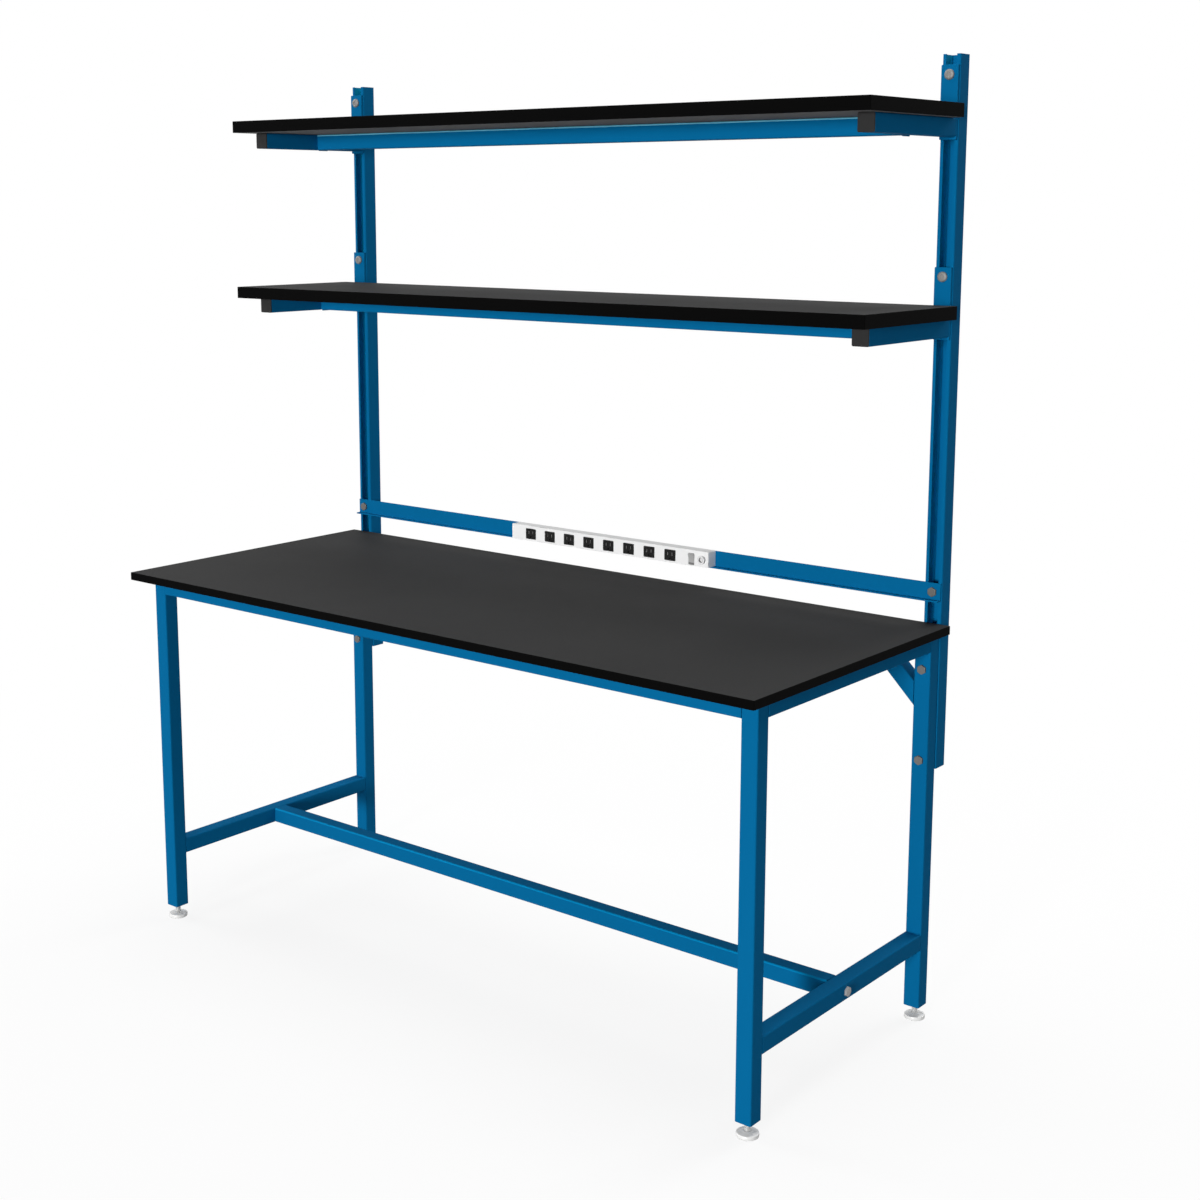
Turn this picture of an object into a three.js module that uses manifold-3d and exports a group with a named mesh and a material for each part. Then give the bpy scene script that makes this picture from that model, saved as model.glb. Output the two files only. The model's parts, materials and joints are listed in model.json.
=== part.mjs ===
// Lab bench with a two-tier reagent shelf and a power strip, in millimetres, +Z up.
// The bench stands on the floor at z = 0, faces -Y, and its origin is the bottom centre of its box.
import * as THREE from 'three';
import { mergeVertices } from 'three/addons/utils/BufferGeometryUtils.js';
import Module from 'manifold-3d';

// Worktop
const WORKTOP_WIDTH = 1828.8;
const WORKTOP_DEPTH = 762;
const WORKTOP_THICKNESS = 19;
const WORKTOP_HEIGHT = 902;
const SLAB_EASE = 1.2;

// Square tube of the welded frame, the shelf arms and the shelf rails
const TUBE = 38.1;
const TUBE_WALL = 2;
const TUBE_RADIUS = 3;
const SIDE_OVERHANG = 25.4;
const FRONT_OVERHANG = 53;
const REAR_STANDOFF = 1;
const LEG_BOTTOM = 32;
const STRETCHER_HEIGHT = 186.5;
const STRETCHER_END_PLATE = 5;
const BRACE_DROP = 122;

// Levelling feet
const LEG_FOOT_PLATE = 8;
const PAD_DIAMETER = 46;
const PAD_RIM = 9.5;
const PAD_EDGE = 2;
const PAD_HEIGHT = 12;
const PAD_COLLAR_WALL = 3.6;
const PAD_FLOOR = 4;
const STEM_DIAMETER = 12.7;
const STEM_SPARE = 36;

// Slotted uprights
const UPRIGHT_WIDTH = 41.3;
const UPRIGHT_DEPTH = 41.3;
const UPRIGHT_WALL = 2.5;
const UPRIGHT_RADIUS = 3.5;
const UPRIGHT_SLOT = 24;
const UPRIGHT_LENGTH = 1524;
const UPRIGHT_TAIL = 306;

// Frame bolts, with a nut inside the channel
const BOLT_DIAMETER = 12;
const BOLT_FLATS = 19;
const BOLT_HEAD = 5;
const LEG_BOLT_DROP = 77;
const LEG_BOLT_SPACING = 203;
const NUT_THICKNESS = 7;
const NUT_HEIGHT = 30;
const STRETCHER_BOLT_END = 20;

// Clamp bolts: button heads with a hex socket on the shelves, hex heads on the power rail
const CLAMP_DIAMETER = 9.5;
const CLAMP_FLATS = 19;
const CLAMP_HEAD = 5;
const BUTTON_DIAMETER = 22;
const BUTTON_CROWN = 13;
const BUTTON_EDGE = 1.8;
const BUTTON_HEAD = 5.5;
const SOCKET_FLATS = 8;
const SOCKET_DEPTH = 3;
const SHANK_LAP = 1;

// Shelves
const SHELF_END_INSET = 1.9;
const SHELF_DEPTH = 380;
const SHELF_THICKNESS = 28.5;
const SHELF_BACK_GAP = 18;
const UPPER_SHELF_DROP = 101;
const SHELF_SPACING = 413;
const ARM_SETBACK = 57;
const CAP_THICKNESS = 4;
const CAP_PLUG = 12;
const PLATE_THICKNESS = 6;
const PLATE_WIDTH = 39;
const PLATE_ABOVE = 79;
const PLATE_BELOW = 6;
const PLATE_BOLT = 59;
const SHELF_RAIL_BACK = 147;

// Power rail: an angle bar across the uprights
const RAIL_GAP = 49.4;
const RAIL_WEB = 39.7;
const RAIL_FLANGE = 12;
const RAIL_SHEET = 3;

// Power strip
const STRIP_DEPTH = 30;
const STRIP_WALL = 1.6;
const STRIP_MARGIN = 6;
const STRIP_CONTROLS = 111;
const OUTLETS = 8;
const OUTLET_PITCH = 62;
const OUTLET_WIDTH = 32;
const OUTLET_HEIGHT = 26;
const OUTLET_DEPTH = 18;
const OUTLET_LIP = 1.2;
const OUTLET_PROUD = 0.6;
const OUTLET_DROP = 1.5;
const BLADE_SPACING = 12.7;
const BLADE_WIDTH = 1.8;
const BLADE_HEIGHT = 8;
const EARTH_WIDTH = 5;
const CONTACT_DEPTH = 12;
const ROCKER_FROM_END = 48.7;
const ROCKER_DROP = 2.8;
const ROCKER_WIDTH = 16;
const ROCKER_HEIGHT = 27;
const ROCKER_ANGLE = 9;
const ROCKER_PROUD = 2.2;
const ROCKER_PIVOT = 2.5;
const RESET_FROM_END = 17.5;
const RESET_DIAMETER = 11.5;
const RESET_BEZEL = 20;
const RESET_BEZEL_PROUD = 6;
const RESET_PROUD = 0.5;
const RESET_FLANGE = 2;
const INLET_DIAMETER = 17;
const INLET_BORE = 9;
const INLET_RIM = 1.2;

// Clearances
const SEAT = 0.1;
const SLIDE = 0.3;
const HOLE = 0.4;
const ROUND = 20;

// Places that follow from the sizes
const halfWidth = WORKTOP_WIDTH / 2;
const halfDepth = WORKTOP_DEPTH / 2;
const frameTop = WORKTOP_HEIGHT - WORKTOP_THICKNESS - SEAT;
const legX = halfWidth - SIDE_OVERHANG - TUBE / 2;
const frontLegY = -halfDepth + FRONT_OVERHANG + TUBE / 2;
const rearLegY = halfDepth + REAR_STANDOFF - TUBE / 2;
const midY = (frontLegY + rearLegY) / 2;
const clearWidth = 2 * legX - TUBE - 2 * SEAT;
const clearDepth = rearLegY - frontLegY - TUBE - 2 * SEAT;
const railZ = frameTop - TUBE / 2;
const uprightFront = rearLegY + TUBE / 2 + SEAT;
const uprightRear = uprightFront + UPRIGHT_DEPTH;
const uprightBottom = frameTop - UPRIGHT_TAIL;
const uprightTop = uprightBottom + UPRIGHT_LENGTH;
const legBolts = { upper: frameTop - LEG_BOLT_DROP, lower: frameTop - LEG_BOLT_DROP - LEG_BOLT_SPACING };
const clampFront = uprightFront - SLIDE;
const nutWidth = UPRIGHT_WIDTH - 2 * UPRIGHT_WALL - 2 * SLIDE;
const nutStart = UPRIGHT_WALL + SLIDE;

// Finishes
const finish = (color, roughness, metalness) => () =>
  new THREE.MeshStandardMaterial({ color, roughness, metalness });
const bluePaint = finish(0x00669a, 0.42, 0.1);
const blackTop = finish(0x1c1c1c, 0.5, 0);
const blackPlastic = finish(0x2b2b2b, 0.55, 0);
const whiteHousing = finish(0xebebeb, 0.45, 0);
const zincSteel = finish(0x9a958f, 0.4, 0.9);
const paleFoot = finish(0xc8c8c8, 0.3, 0.9);

const bench = new THREE.Group();
const SIDES = { left: -1, right: 1 };

function piece(parent, name, geometry, material, position = [0, 0, 0]) {
  const mesh = new THREE.Mesh(geometry, material());
  mesh.name = name;
  mesh.position.set(...position);
  parent.add(mesh);
  return mesh;
}

// Solid joins and cuts
const wasm = await Module();
wasm.setup();

function solid(geometry) {
  const bare = geometry.clone();
  bare.deleteAttribute('normal');
  bare.deleteAttribute('uv');
  const merged = mergeVertices(bare, 1e-4);
  return new wasm.Manifold(new wasm.Mesh({
    numProp: 3,
    vertProperties: merged.attributes.position.array,
    triVerts: Uint32Array.from(merged.index.array),
  }));
}

function shape(manifold) {
  const mesh = manifold.getMesh();
  const geometry = new THREE.BufferGeometry();
  geometry.setAttribute('position', new THREE.BufferAttribute(mesh.vertProperties, 3));
  geometry.setIndex(new THREE.BufferAttribute(mesh.triVerts, 1));
  return geometry;
}

const join = (...parts) => parts.map(solid).reduce((sum, part) => sum.add(part));
const cut = (body, ...tools) => tools.map(solid).reduce((rest, tool) => rest.subtract(tool), body);

// Basic forms
function box(width, depth, height, x = 0, y = 0, z = 0) {
  return new THREE.BoxGeometry(width, depth, height).translate(x, y, z);
}

function rod(diameter, length, axis = 'z') {
  const geometry = new THREE.CylinderGeometry(diameter / 2, diameter / 2, length, ROUND);
  if (axis === 'x') return geometry.rotateZ(-Math.PI / 2);
  return axis === 'z' ? geometry.rotateX(Math.PI / 2) : geometry;
}

function roundedRect(width, depth, radius) {
  const [x, y] = [width / 2 - radius, depth / 2 - radius];
  return new THREE.Shape()
    .absarc(x, y, radius, 0, Math.PI / 2)
    .absarc(-x, y, radius, Math.PI / 2, Math.PI)
    .absarc(-x, -y, radius, Math.PI, Math.PI * 1.5)
    .absarc(x, -y, radius, Math.PI * 1.5, Math.PI * 2);
}

// A prism of a flat outline, centred on z = 0
function prism(outline, length, curveSegments = 3) {
  return new THREE.ExtrudeGeometry(outline, { depth: length, bevelEnabled: false, curveSegments })
    .translate(0, 0, -length / 2);
}

const vectors = (points) => points.map(([x, y]) => new THREE.Vector2(x, y));
const polygon = (points) => new THREE.Shape(vectors(points));

// A turned form about the y axis, from a profile of radius and height
const turned = (profile) => new THREE.LatheGeometry(vectors(profile), ROUND);

// Turns a form made along z to run along x or y
function along(geometry, axis) {
  if (axis === 'x') return geometry.rotateY(Math.PI / 2);
  return axis === 'y' ? geometry.rotateX(-Math.PI / 2) : geometry;
}

function squareTube(length, axis) {
  const outline = roundedRect(TUBE, TUBE, TUBE_RADIUS);
  const bore = TUBE / 2 - TUBE_WALL;
  outline.holes.push(new THREE.Path(vectors([[-bore, -bore], [-bore, bore], [bore, bore], [bore, -bore]])));
  return along(prism(outline, length), axis);
}

// A plate that closes the end of a square tube
function endPlate(thickness, axis) {
  const size = TUBE - TUBE_WALL;
  return along(prism(roundedRect(size, size, TUBE_RADIUS), thickness), axis);
}

// A flat board with eased edges, its top at z = 0
function slab(width, depth, thickness) {
  const outline = polygon([
    [-width / 2, -depth / 2], [width / 2, -depth / 2], [width / 2, depth / 2], [-width / 2, depth / 2]]);
  return new THREE.ExtrudeGeometry(outline, {
    depth: thickness - 2 * SLAB_EASE,
    bevelThickness: SLAB_EASE,
    bevelSize: SLAB_EASE,
    bevelOffset: -SLAB_EASE,
    bevelSegments: 1,
  }).translate(0, 0, SLAB_EASE - thickness);
}

// A hex head that seats at y = 0 and faces -Y
function hexHead(flats, height) {
  const corner = flats / Math.sqrt(3);
  return new THREE.CylinderGeometry(corner, corner, height, 6).translate(0, -height / 2, 0);
}

// A round button head with a hex socket in its crown
function buttonHead() {
  const [edge, crown] = [BUTTON_DIAMETER / 2, BUTTON_CROWN / 2];
  const head = turned([[0, -BUTTON_HEAD], [crown, -BUTTON_HEAD], [edge, -BUTTON_EDGE], [edge, 0], [0, 0]]);
  const socket = hexHead(SOCKET_FLATS, 2 * SOCKET_DEPTH).translate(0, SOCKET_DEPTH - BUTTON_HEAD, 0);
  return shape(cut(solid(head), socket));
}

// A bolt along +Y whose head seats at y = 0
function bolt(head, diameter, length) {
  return join(head, rod(diameter, length + SHANK_LAP, 'y').translate(0, (length - SHANK_LAP) / 2, 0));
}

// A bolt with its nut inside a channel whose front face is at y = channelFront
function channelBolt(head, diameter, channelFront) {
  const nutY = channelFront + nutStart + NUT_THICKNESS / 2;
  const nut = solid(box(nutWidth, NUT_THICKNESS, NUT_HEIGHT, 0, nutY));
  return shape(bolt(head, diameter, nutY).add(nut));
}

// Worktop
const worktop = slab(WORKTOP_WIDTH, WORKTOP_DEPTH, WORKTOP_THICKNESS);
piece(bench, 'worktop', worktop, blackTop, [0, 0, WORKTOP_HEIGHT]);

// Legs: tubes with a tapped plate at the foot, and bolt holes through the rear pair
const legLength = frameTop - LEG_BOTTOM;
const legCentre = LEG_BOTTOM + legLength / 2;

function leg(boltHeights) {
  const plateZ = (LEG_FOOT_PLATE - legLength) / 2;
  const holes = boltHeights.map((z) =>
    rod(BOLT_DIAMETER + 2 * HOLE, 2 * TUBE, 'y').translate(0, 0, z - legCentre));
  const stemHole = rod(STEM_DIAMETER + 2 * SLIDE, 3 * LEG_FOOT_PLATE).translate(0, 0, plateZ);
  const blank = join(squareTube(legLength), endPlate(LEG_FOOT_PLATE).translate(0, 0, plateZ));
  return shape(cut(blank, stemHole, ...holes));
}

// Levelling feet: a pad with a socket, and a threaded stem that turns in it
function footPad() {
  const bore = STEM_DIAMETER / 2 + SLIDE;
  const rim = PAD_DIAMETER / 2;
  return turned([
    [0, 0], [rim - PAD_EDGE, 0], [rim, PAD_EDGE], [rim, PAD_RIM - PAD_EDGE], [rim - PAD_EDGE, PAD_RIM],
    [bore + PAD_COLLAR_WALL, PAD_HEIGHT], [bore, PAD_HEIGHT], [bore, PAD_FLOOR], [0, PAD_FLOOR],
  ]).rotateX(Math.PI / 2);
}

const stemBottom = PAD_FLOOR + SLIDE;
const stemTop = LEG_BOTTOM + LEG_FOOT_PLATE + STEM_SPARE;
const stemLength = stemTop - stemBottom;
const LEG_PAIRS = [['front', frontLegY, []], ['rear', rearLegY, Object.values(legBolts)]];

for (const [end, y, boltHeights] of LEG_PAIRS) {
  for (const [side, sign] of Object.entries(SIDES)) {
    const x = sign * legX;
    piece(bench, `${end}_${side}_leg`, leg(boltHeights), bluePaint, [x, y, legCentre]);
    piece(bench, `${end}_${side}_foot_pad`, footPad(), paleFoot, [x, y, 0]);
    piece(bench, `${end}_${side}_foot_stem`, rod(STEM_DIAMETER, stemLength), zincSteel,
      [x, y, stemBottom + stemLength / 2]);
  }
}

// Rails under the worktop, and the H-shaped base
const stretcherBoltHole = BOLT_DIAMETER + 2 * HOLE;
const sideStretcher = shape(cut(solid(squareTube(clearDepth, 'y')), rod(stretcherBoltHole, 2 * TUBE, 'x')));

function centreStretcher() {
  const plateX = (clearWidth - STRETCHER_END_PLATE) / 2;
  const plate = (sign) => endPlate(STRETCHER_END_PLATE, 'x').translate(sign * plateX, 0, 0);
  const blank = join(squareTube(clearWidth, 'x'), plate(-1), plate(1));
  return shape(cut(blank, rod(stretcherBoltHole, 2 * clearWidth, 'x')));
}

piece(bench, 'front_rail', squareTube(clearWidth, 'x'), bluePaint, [0, frontLegY, railZ]);
piece(bench, 'rear_rail', squareTube(clearWidth, 'x'), bluePaint, [0, rearLegY, railZ]);
piece(bench, 'centre_stretcher', centreStretcher(), bluePaint, [0, midY, STRETCHER_HEIGHT]);

// Corner braces: a tube at 45 degrees between a rear leg and the rear rail
const braceTop = railZ - TUBE / 2 - SEAT;
const braceSide = legX - TUBE / 2 - SEAT;

function cornerBrace(sign) {
  const reach = BRACE_DROP - TUBE / Math.SQRT2;
  const span = 2 * BRACE_DROP;
  const diagonal = squareTube(span, 'x').rotateY(Math.PI / 4)
    .translate(braceSide - reach / 2, 0, braceTop - reach / 2);
  const corner = box(span, 2 * TUBE, span, braceSide - span / 2, 0, braceTop - span / 2);
  const trimmed = shape(solid(diagonal).intersect(solid(corner)));
  return sign > 0 ? trimmed : trimmed.rotateZ(Math.PI);
}

for (const [side, sign] of Object.entries(SIDES)) {
  const x = sign * legX;
  piece(bench, `${side}_rail`, squareTube(clearDepth, 'y'), bluePaint, [x, midY, railZ]);
  piece(bench, `${side}_stretcher`, sideStretcher.clone(), bluePaint, [x, midY, STRETCHER_HEIGHT]);
  piece(bench, `${side}_brace`, cornerBrace(sign), bluePaint, [0, rearLegY, 0]);

  const crossBolt = bolt(hexHead(BOLT_FLATS, BOLT_HEAD), BOLT_DIAMETER, TUBE + STRETCHER_BOLT_END);
  piece(bench, `${side}_stretcher_bolt`, shape(crossBolt).rotateZ(sign * Math.PI / 2), zincSteel,
    [sign * (legX + TUBE / 2 + SEAT), midY, STRETCHER_HEIGHT]);
}

// Uprights: channels with a slot down the front, bolted behind the rear legs
function channelOutline() {
  const [half, wall, lip] = [UPRIGHT_WIDTH / 2, UPRIGHT_WALL, UPRIGHT_SLOT / 2];
  const round = UPRIGHT_RADIUS;
  const outline = new THREE.Shape();
  outline.moveTo(lip, 0);
  outline.absarc(half - round, round, round, -Math.PI / 2, 0);
  outline.absarc(half - round, UPRIGHT_DEPTH - round, round, 0, Math.PI / 2);
  outline.absarc(round - half, UPRIGHT_DEPTH - round, round, Math.PI / 2, Math.PI);
  outline.absarc(round - half, round, round, Math.PI, Math.PI * 1.5);
  outline.lineTo(-lip, 0);
  outline.lineTo(-lip, wall);
  outline.lineTo(wall - half, wall);
  outline.lineTo(wall - half, UPRIGHT_DEPTH - wall);
  outline.lineTo(half - wall, UPRIGHT_DEPTH - wall);
  outline.lineTo(half - wall, wall);
  outline.lineTo(lip, wall);
  return outline;
}

for (const [side, sign] of Object.entries(SIDES)) {
  const x = sign * legX;
  piece(bench, `${side}_upright`, prism(channelOutline(), UPRIGHT_LENGTH), bluePaint,
    [x, uprightFront, (uprightBottom + uprightTop) / 2]);
  for (const [level, z] of Object.entries(legBolts)) {
    const headSeat = rearLegY - TUBE / 2 - SEAT;
    piece(bench, `${side}_${level}_leg_bolt`,
      channelBolt(hexHead(BOLT_FLATS, BOLT_HEAD), BOLT_DIAMETER, uprightFront - headSeat), zincSteel,
      [x, headSeat, z]);
  }
}

// Shelves: a board on two bracket arms tied by a rail, clamped in the slots of the uprights
const shelfWidth = WORKTOP_WIDTH - 2 * SHELF_END_INSET;
const boardRear = uprightFront - SHELF_BACK_GAP;
const boardFront = boardRear - SHELF_DEPTH;
const plateFront = clampFront - PLATE_THICKNESS;
const armTip = boardFront + ARM_SETBACK + CAP_THICKNESS;
const armLength = plateFront - armTip;
const armZ = -SHELF_THICKNESS - SEAT - TUBE / 2;
const plateHeight = PLATE_ABOVE + PLATE_BELOW + TUBE + SHELF_THICKNESS + SEAT;

function bracket() {
  const weld = PLATE_THICKNESS / 2;
  const arm = squareTube(armLength + weld, 'y').translate(0, (armTip + plateFront + weld) / 2, armZ);
  const plate = box(PLATE_WIDTH, PLATE_THICKNESS, plateHeight, 0, clampFront - PLATE_THICKNESS / 2,
    PLATE_ABOVE - plateHeight / 2);
  const hole = rod(CLAMP_DIAMETER + 2 * HOLE, 4 * PLATE_THICKNESS, 'y').translate(0, clampFront, PLATE_BOLT);
  return shape(cut(join(arm, plate), hole));
}

function armCap() {
  const plugSize = TUBE - 2 * TUBE_WALL - 2 * SLIDE;
  const face = along(prism(roundedRect(TUBE, TUBE, TUBE_RADIUS), CAP_THICKNESS - SEAT), 'y')
    .translate(0, -(CAP_THICKNESS + SEAT) / 2, 0);
  return shape(join(face, box(plugSize, CAP_PLUG + SEAT * 2, plugSize, 0, CAP_PLUG / 2 - SEAT, 0)));
}

function shelf(name, height) {
  const tier = new THREE.Group();
  tier.position.z = height;
  bench.add(tier);
  piece(tier, `${name}_shelf_board`, slab(shelfWidth, SHELF_DEPTH, SHELF_THICKNESS), blackTop,
    [0, (boardFront + boardRear) / 2, 0]);
  piece(tier, `${name}_shelf_rail`, squareTube(clearWidth, 'x'), bluePaint,
    [0, uprightFront - SHELF_RAIL_BACK, armZ]);
  for (const [side, sign] of Object.entries(SIDES)) {
    const x = sign * legX;
    const headSeat = plateFront - SEAT;
    piece(tier, `${name}_${side}_bracket`, bracket(), bluePaint, [x, 0, 0]);
    piece(tier, `${name}_${side}_arm_cap`, armCap(), blackPlastic, [x, armTip, armZ]);
    piece(tier, `${name}_${side}_clamp_bolt`,
      channelBolt(buttonHead(), CLAMP_DIAMETER, uprightFront - headSeat), zincSteel,
      [x, headSeat, PLATE_BOLT]);
  }
}

shelf('upper', uprightTop - UPPER_SHELF_DROP);
shelf('lower', uprightTop - UPPER_SHELF_DROP - SHELF_SPACING);

// Power rail: an angle bar whose flange carries the power strip
const powerRail = new THREE.Group();
powerRail.position.set(0, clampFront, WORKTOP_HEIGHT + RAIL_GAP);
bench.add(powerRail);
const railBolt = RAIL_WEB / 2;
const webFront = -RAIL_SHEET;

function angleBar() {
  const section = polygon([
    [0, 0], [0, RAIL_WEB], [webFront, RAIL_WEB], [webFront, RAIL_SHEET],
    [webFront - RAIL_FLANGE, RAIL_SHEET], [webFront - RAIL_FLANGE, 0]]);
  const bar = prism(section, 2 * legX + TUBE).rotateX(Math.PI / 2).rotateZ(Math.PI / 2);
  const holes = Object.values(SIDES).map((sign) =>
    rod(CLAMP_DIAMETER + 2 * HOLE, 4 * RAIL_SHEET, 'y').translate(sign * legX, 0, railBolt));
  return shape(cut(solid(bar), ...holes));
}

piece(powerRail, 'power_rail', angleBar(), bluePaint);
for (const [side, sign] of Object.entries(SIDES)) {
  const headSeat = webFront - SEAT;
  piece(powerRail, `power_rail_${side}_bolt`,
    channelBolt(hexHead(CLAMP_FLATS, CLAMP_HEAD), CLAMP_DIAMETER, SLIDE - headSeat), zincSteel,
    [sign * legX, headSeat, railBolt]);
}

// Power strip: a hollow housing with outlets, a rocker switch, a reset button and a cord inlet
const strip = new THREE.Group();
strip.position.set(0, webFront - SEAT - STRIP_DEPTH, RAIL_SHEET + SEAT);
powerRail.add(strip);
const stripHeight = OUTLET_HEIGHT + 2 * STRIP_MARGIN;
const stripLength = OUTLETS * OUTLET_PITCH + STRIP_CONTROLS;
const stripMiddle = stripHeight / 2;
const controlZ = stripMiddle - OUTLET_DROP;
const rockerZ = stripMiddle - ROCKER_DROP;
const outletX = (index) => (index + 1) * OUTLET_PITCH - stripLength / 2;
const rockerX = stripLength / 2 - ROCKER_FROM_END;
const rockerAngle = THREE.MathUtils.degToRad(ROCKER_ANGLE);
const resetX = stripLength / 2 - RESET_FROM_END;

function housing() {
  const through = 4 * STRIP_WALL;
  const shell = along(prism(roundedRect(stripHeight, STRIP_DEPTH, STRIP_WALL), stripLength), 'x')
    .translate(0, STRIP_DEPTH / 2, stripMiddle);
  const bezel = rod(RESET_BEZEL, RESET_BEZEL_PROUD + STRIP_WALL, 'y')
    .translate(resetX, (STRIP_WALL - RESET_BEZEL_PROUD) / 2, controlZ);
  const inlet = rod(INLET_DIAMETER, INLET_RIM + STRIP_WALL, 'x')
    .translate((STRIP_WALL - INLET_RIM - stripLength) / 2, STRIP_DEPTH / 2, stripMiddle);
  const [length, depth, height] = [stripLength, STRIP_DEPTH, stripHeight].map((size) =>
    size - 2 * STRIP_WALL);
  const hollow = box(length, depth, height, 0, STRIP_DEPTH / 2, stripMiddle);
  const windows = Array.from({ length: OUTLETS }, (_, index) =>
    box(OUTLET_WIDTH + 2 * SLIDE, through, OUTLET_HEIGHT + 2 * SLIDE, outletX(index), 0, controlZ));
  const rockerWindow = box(ROCKER_WIDTH + 2 * HOLE, through, ROCKER_HEIGHT + 2 * HOLE, rockerX, 0, rockerZ);
  const resetBore = rod(RESET_DIAMETER + 2 * SLIDE, 2 * (RESET_BEZEL_PROUD + STRIP_WALL), 'y')
    .translate(resetX, 0, controlZ);
  const cordBore = rod(INLET_BORE, 4 * (INLET_RIM + STRIP_WALL), 'x')
    .translate(-stripLength / 2, STRIP_DEPTH / 2, stripMiddle);
  return shape(cut(join(shell, bezel, inlet), hollow, ...windows, rockerWindow, resetBore, cordBore));
}

// An outlet fills its window and is held by a lip behind the wall
function outlet() {
  const front = -OUTLET_PROUD;
  const lipFront = STRIP_WALL + SLIDE;
  const face = box(OUTLET_WIDTH, OUTLET_DEPTH - front, OUTLET_HEIGHT, 0, (OUTLET_DEPTH + front) / 2, 0);
  const lip = box(OUTLET_WIDTH + 2 * OUTLET_LIP, OUTLET_DEPTH - lipFront, OUTLET_HEIGHT + 2 * OUTLET_LIP, 0,
    (OUTLET_DEPTH + lipFront) / 2, 0);
  const contactY = front + CONTACT_DEPTH / 2;
  const blades = [-1, 1].map((sign) =>
    box(BLADE_WIDTH, 2 * CONTACT_DEPTH, BLADE_HEIGHT, sign * BLADE_SPACING / 2, front, BLADE_HEIGHT / 3));
  const earth = box(EARTH_WIDTH, CONTACT_DEPTH, EARTH_WIDTH, 0, contactY - SEAT, -BLADE_HEIGHT);
  return shape(cut(join(face, lip), ...blades, earth));
}

// The rocker is a drum about its pivot with a shallow valley in front, so it tilts clear of its window.
// It rests with its lower half pressed in, which then lies flat along the wall.
function rocker() {
  const radius = ROCKER_HEIGHT / 2;
  const lip = ROCKER_PIVOT + ROCKER_PROUD;
  const corner = Math.acos(lip / radius);
  const valley = radius * Math.sin(corner) * Math.tan(rockerAngle);
  const outline = new THREE.Shape();
  outline.moveTo(valley - lip, 0);
  outline.absarc(0, 0, radius, corner - Math.PI, Math.PI - corner);
  return prism(outline, ROCKER_WIDTH, ROUND).rotateX(Math.PI / 2).rotateZ(Math.PI / 2);
}

// The reset button lies back inside its bezel and is held by a flange behind the wall
function resetButton() {
  const radius = RESET_DIAMETER / 2;
  const flangeFront = STRIP_WALL + SLIDE;
  return turned([
    [0, -RESET_PROUD], [radius, -RESET_PROUD], [radius, flangeFront], [radius + RESET_FLANGE, flangeFront],
    [radius + RESET_FLANGE, flangeFront + RESET_FLANGE], [0, flangeFront + RESET_FLANGE]]);
}

piece(strip, 'strip_housing', housing(), whiteHousing);
for (let index = 0; index < OUTLETS; index += 1) {
  piece(strip, `outlet_${index + 1}`, outlet(), blackPlastic, [outletX(index), 0, controlZ]);
}

const rockerPivot = [rockerX, ROCKER_PIVOT, rockerZ];
piece(strip, 'power_rocker', rocker(), blackPlastic, rockerPivot).rotation.x = rockerAngle;
piece(strip, 'reset_button', resetButton(), whiteHousing, [resetX, 0, controlZ]);

// The bench is centred on its box
const root = new THREE.Group();
bench.position.y = -(uprightRear - halfDepth) / 2;
root.add(bench);
root.updateMatrixWorld(true);

export default root;
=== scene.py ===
"""Lab bench with a two-tier reagent shelf: its looks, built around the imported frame, in metres."""

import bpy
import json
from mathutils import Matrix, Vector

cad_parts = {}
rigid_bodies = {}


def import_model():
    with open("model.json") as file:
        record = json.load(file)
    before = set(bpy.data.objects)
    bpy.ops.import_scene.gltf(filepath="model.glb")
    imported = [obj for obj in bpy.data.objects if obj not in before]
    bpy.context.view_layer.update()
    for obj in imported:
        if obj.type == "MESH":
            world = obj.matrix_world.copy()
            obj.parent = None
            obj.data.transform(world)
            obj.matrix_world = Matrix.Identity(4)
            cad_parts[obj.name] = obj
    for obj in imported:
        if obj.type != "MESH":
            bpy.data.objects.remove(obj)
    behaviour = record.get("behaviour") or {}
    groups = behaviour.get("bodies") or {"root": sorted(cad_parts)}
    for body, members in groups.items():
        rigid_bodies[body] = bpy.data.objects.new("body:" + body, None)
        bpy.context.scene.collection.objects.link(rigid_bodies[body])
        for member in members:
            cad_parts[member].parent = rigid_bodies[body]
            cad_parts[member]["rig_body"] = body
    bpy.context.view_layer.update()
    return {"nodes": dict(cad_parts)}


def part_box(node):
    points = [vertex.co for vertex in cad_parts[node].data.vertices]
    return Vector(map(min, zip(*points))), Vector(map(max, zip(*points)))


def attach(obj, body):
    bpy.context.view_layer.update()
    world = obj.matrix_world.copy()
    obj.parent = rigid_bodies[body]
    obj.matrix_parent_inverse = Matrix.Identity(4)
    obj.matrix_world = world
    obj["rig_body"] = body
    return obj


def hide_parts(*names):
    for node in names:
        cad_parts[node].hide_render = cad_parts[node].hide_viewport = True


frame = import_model()

import functools
import json
import logging
import math
from dataclasses import dataclass, field
from enum import Enum, IntEnum
from typing import Any, Callable, Mapping, Sequence, Union

import bmesh
import bpy
from mathutils import Matrix, Vector
from mathutils.geometry import tessellate_polygon

log = logging.getLogger("lab_bench")

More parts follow.
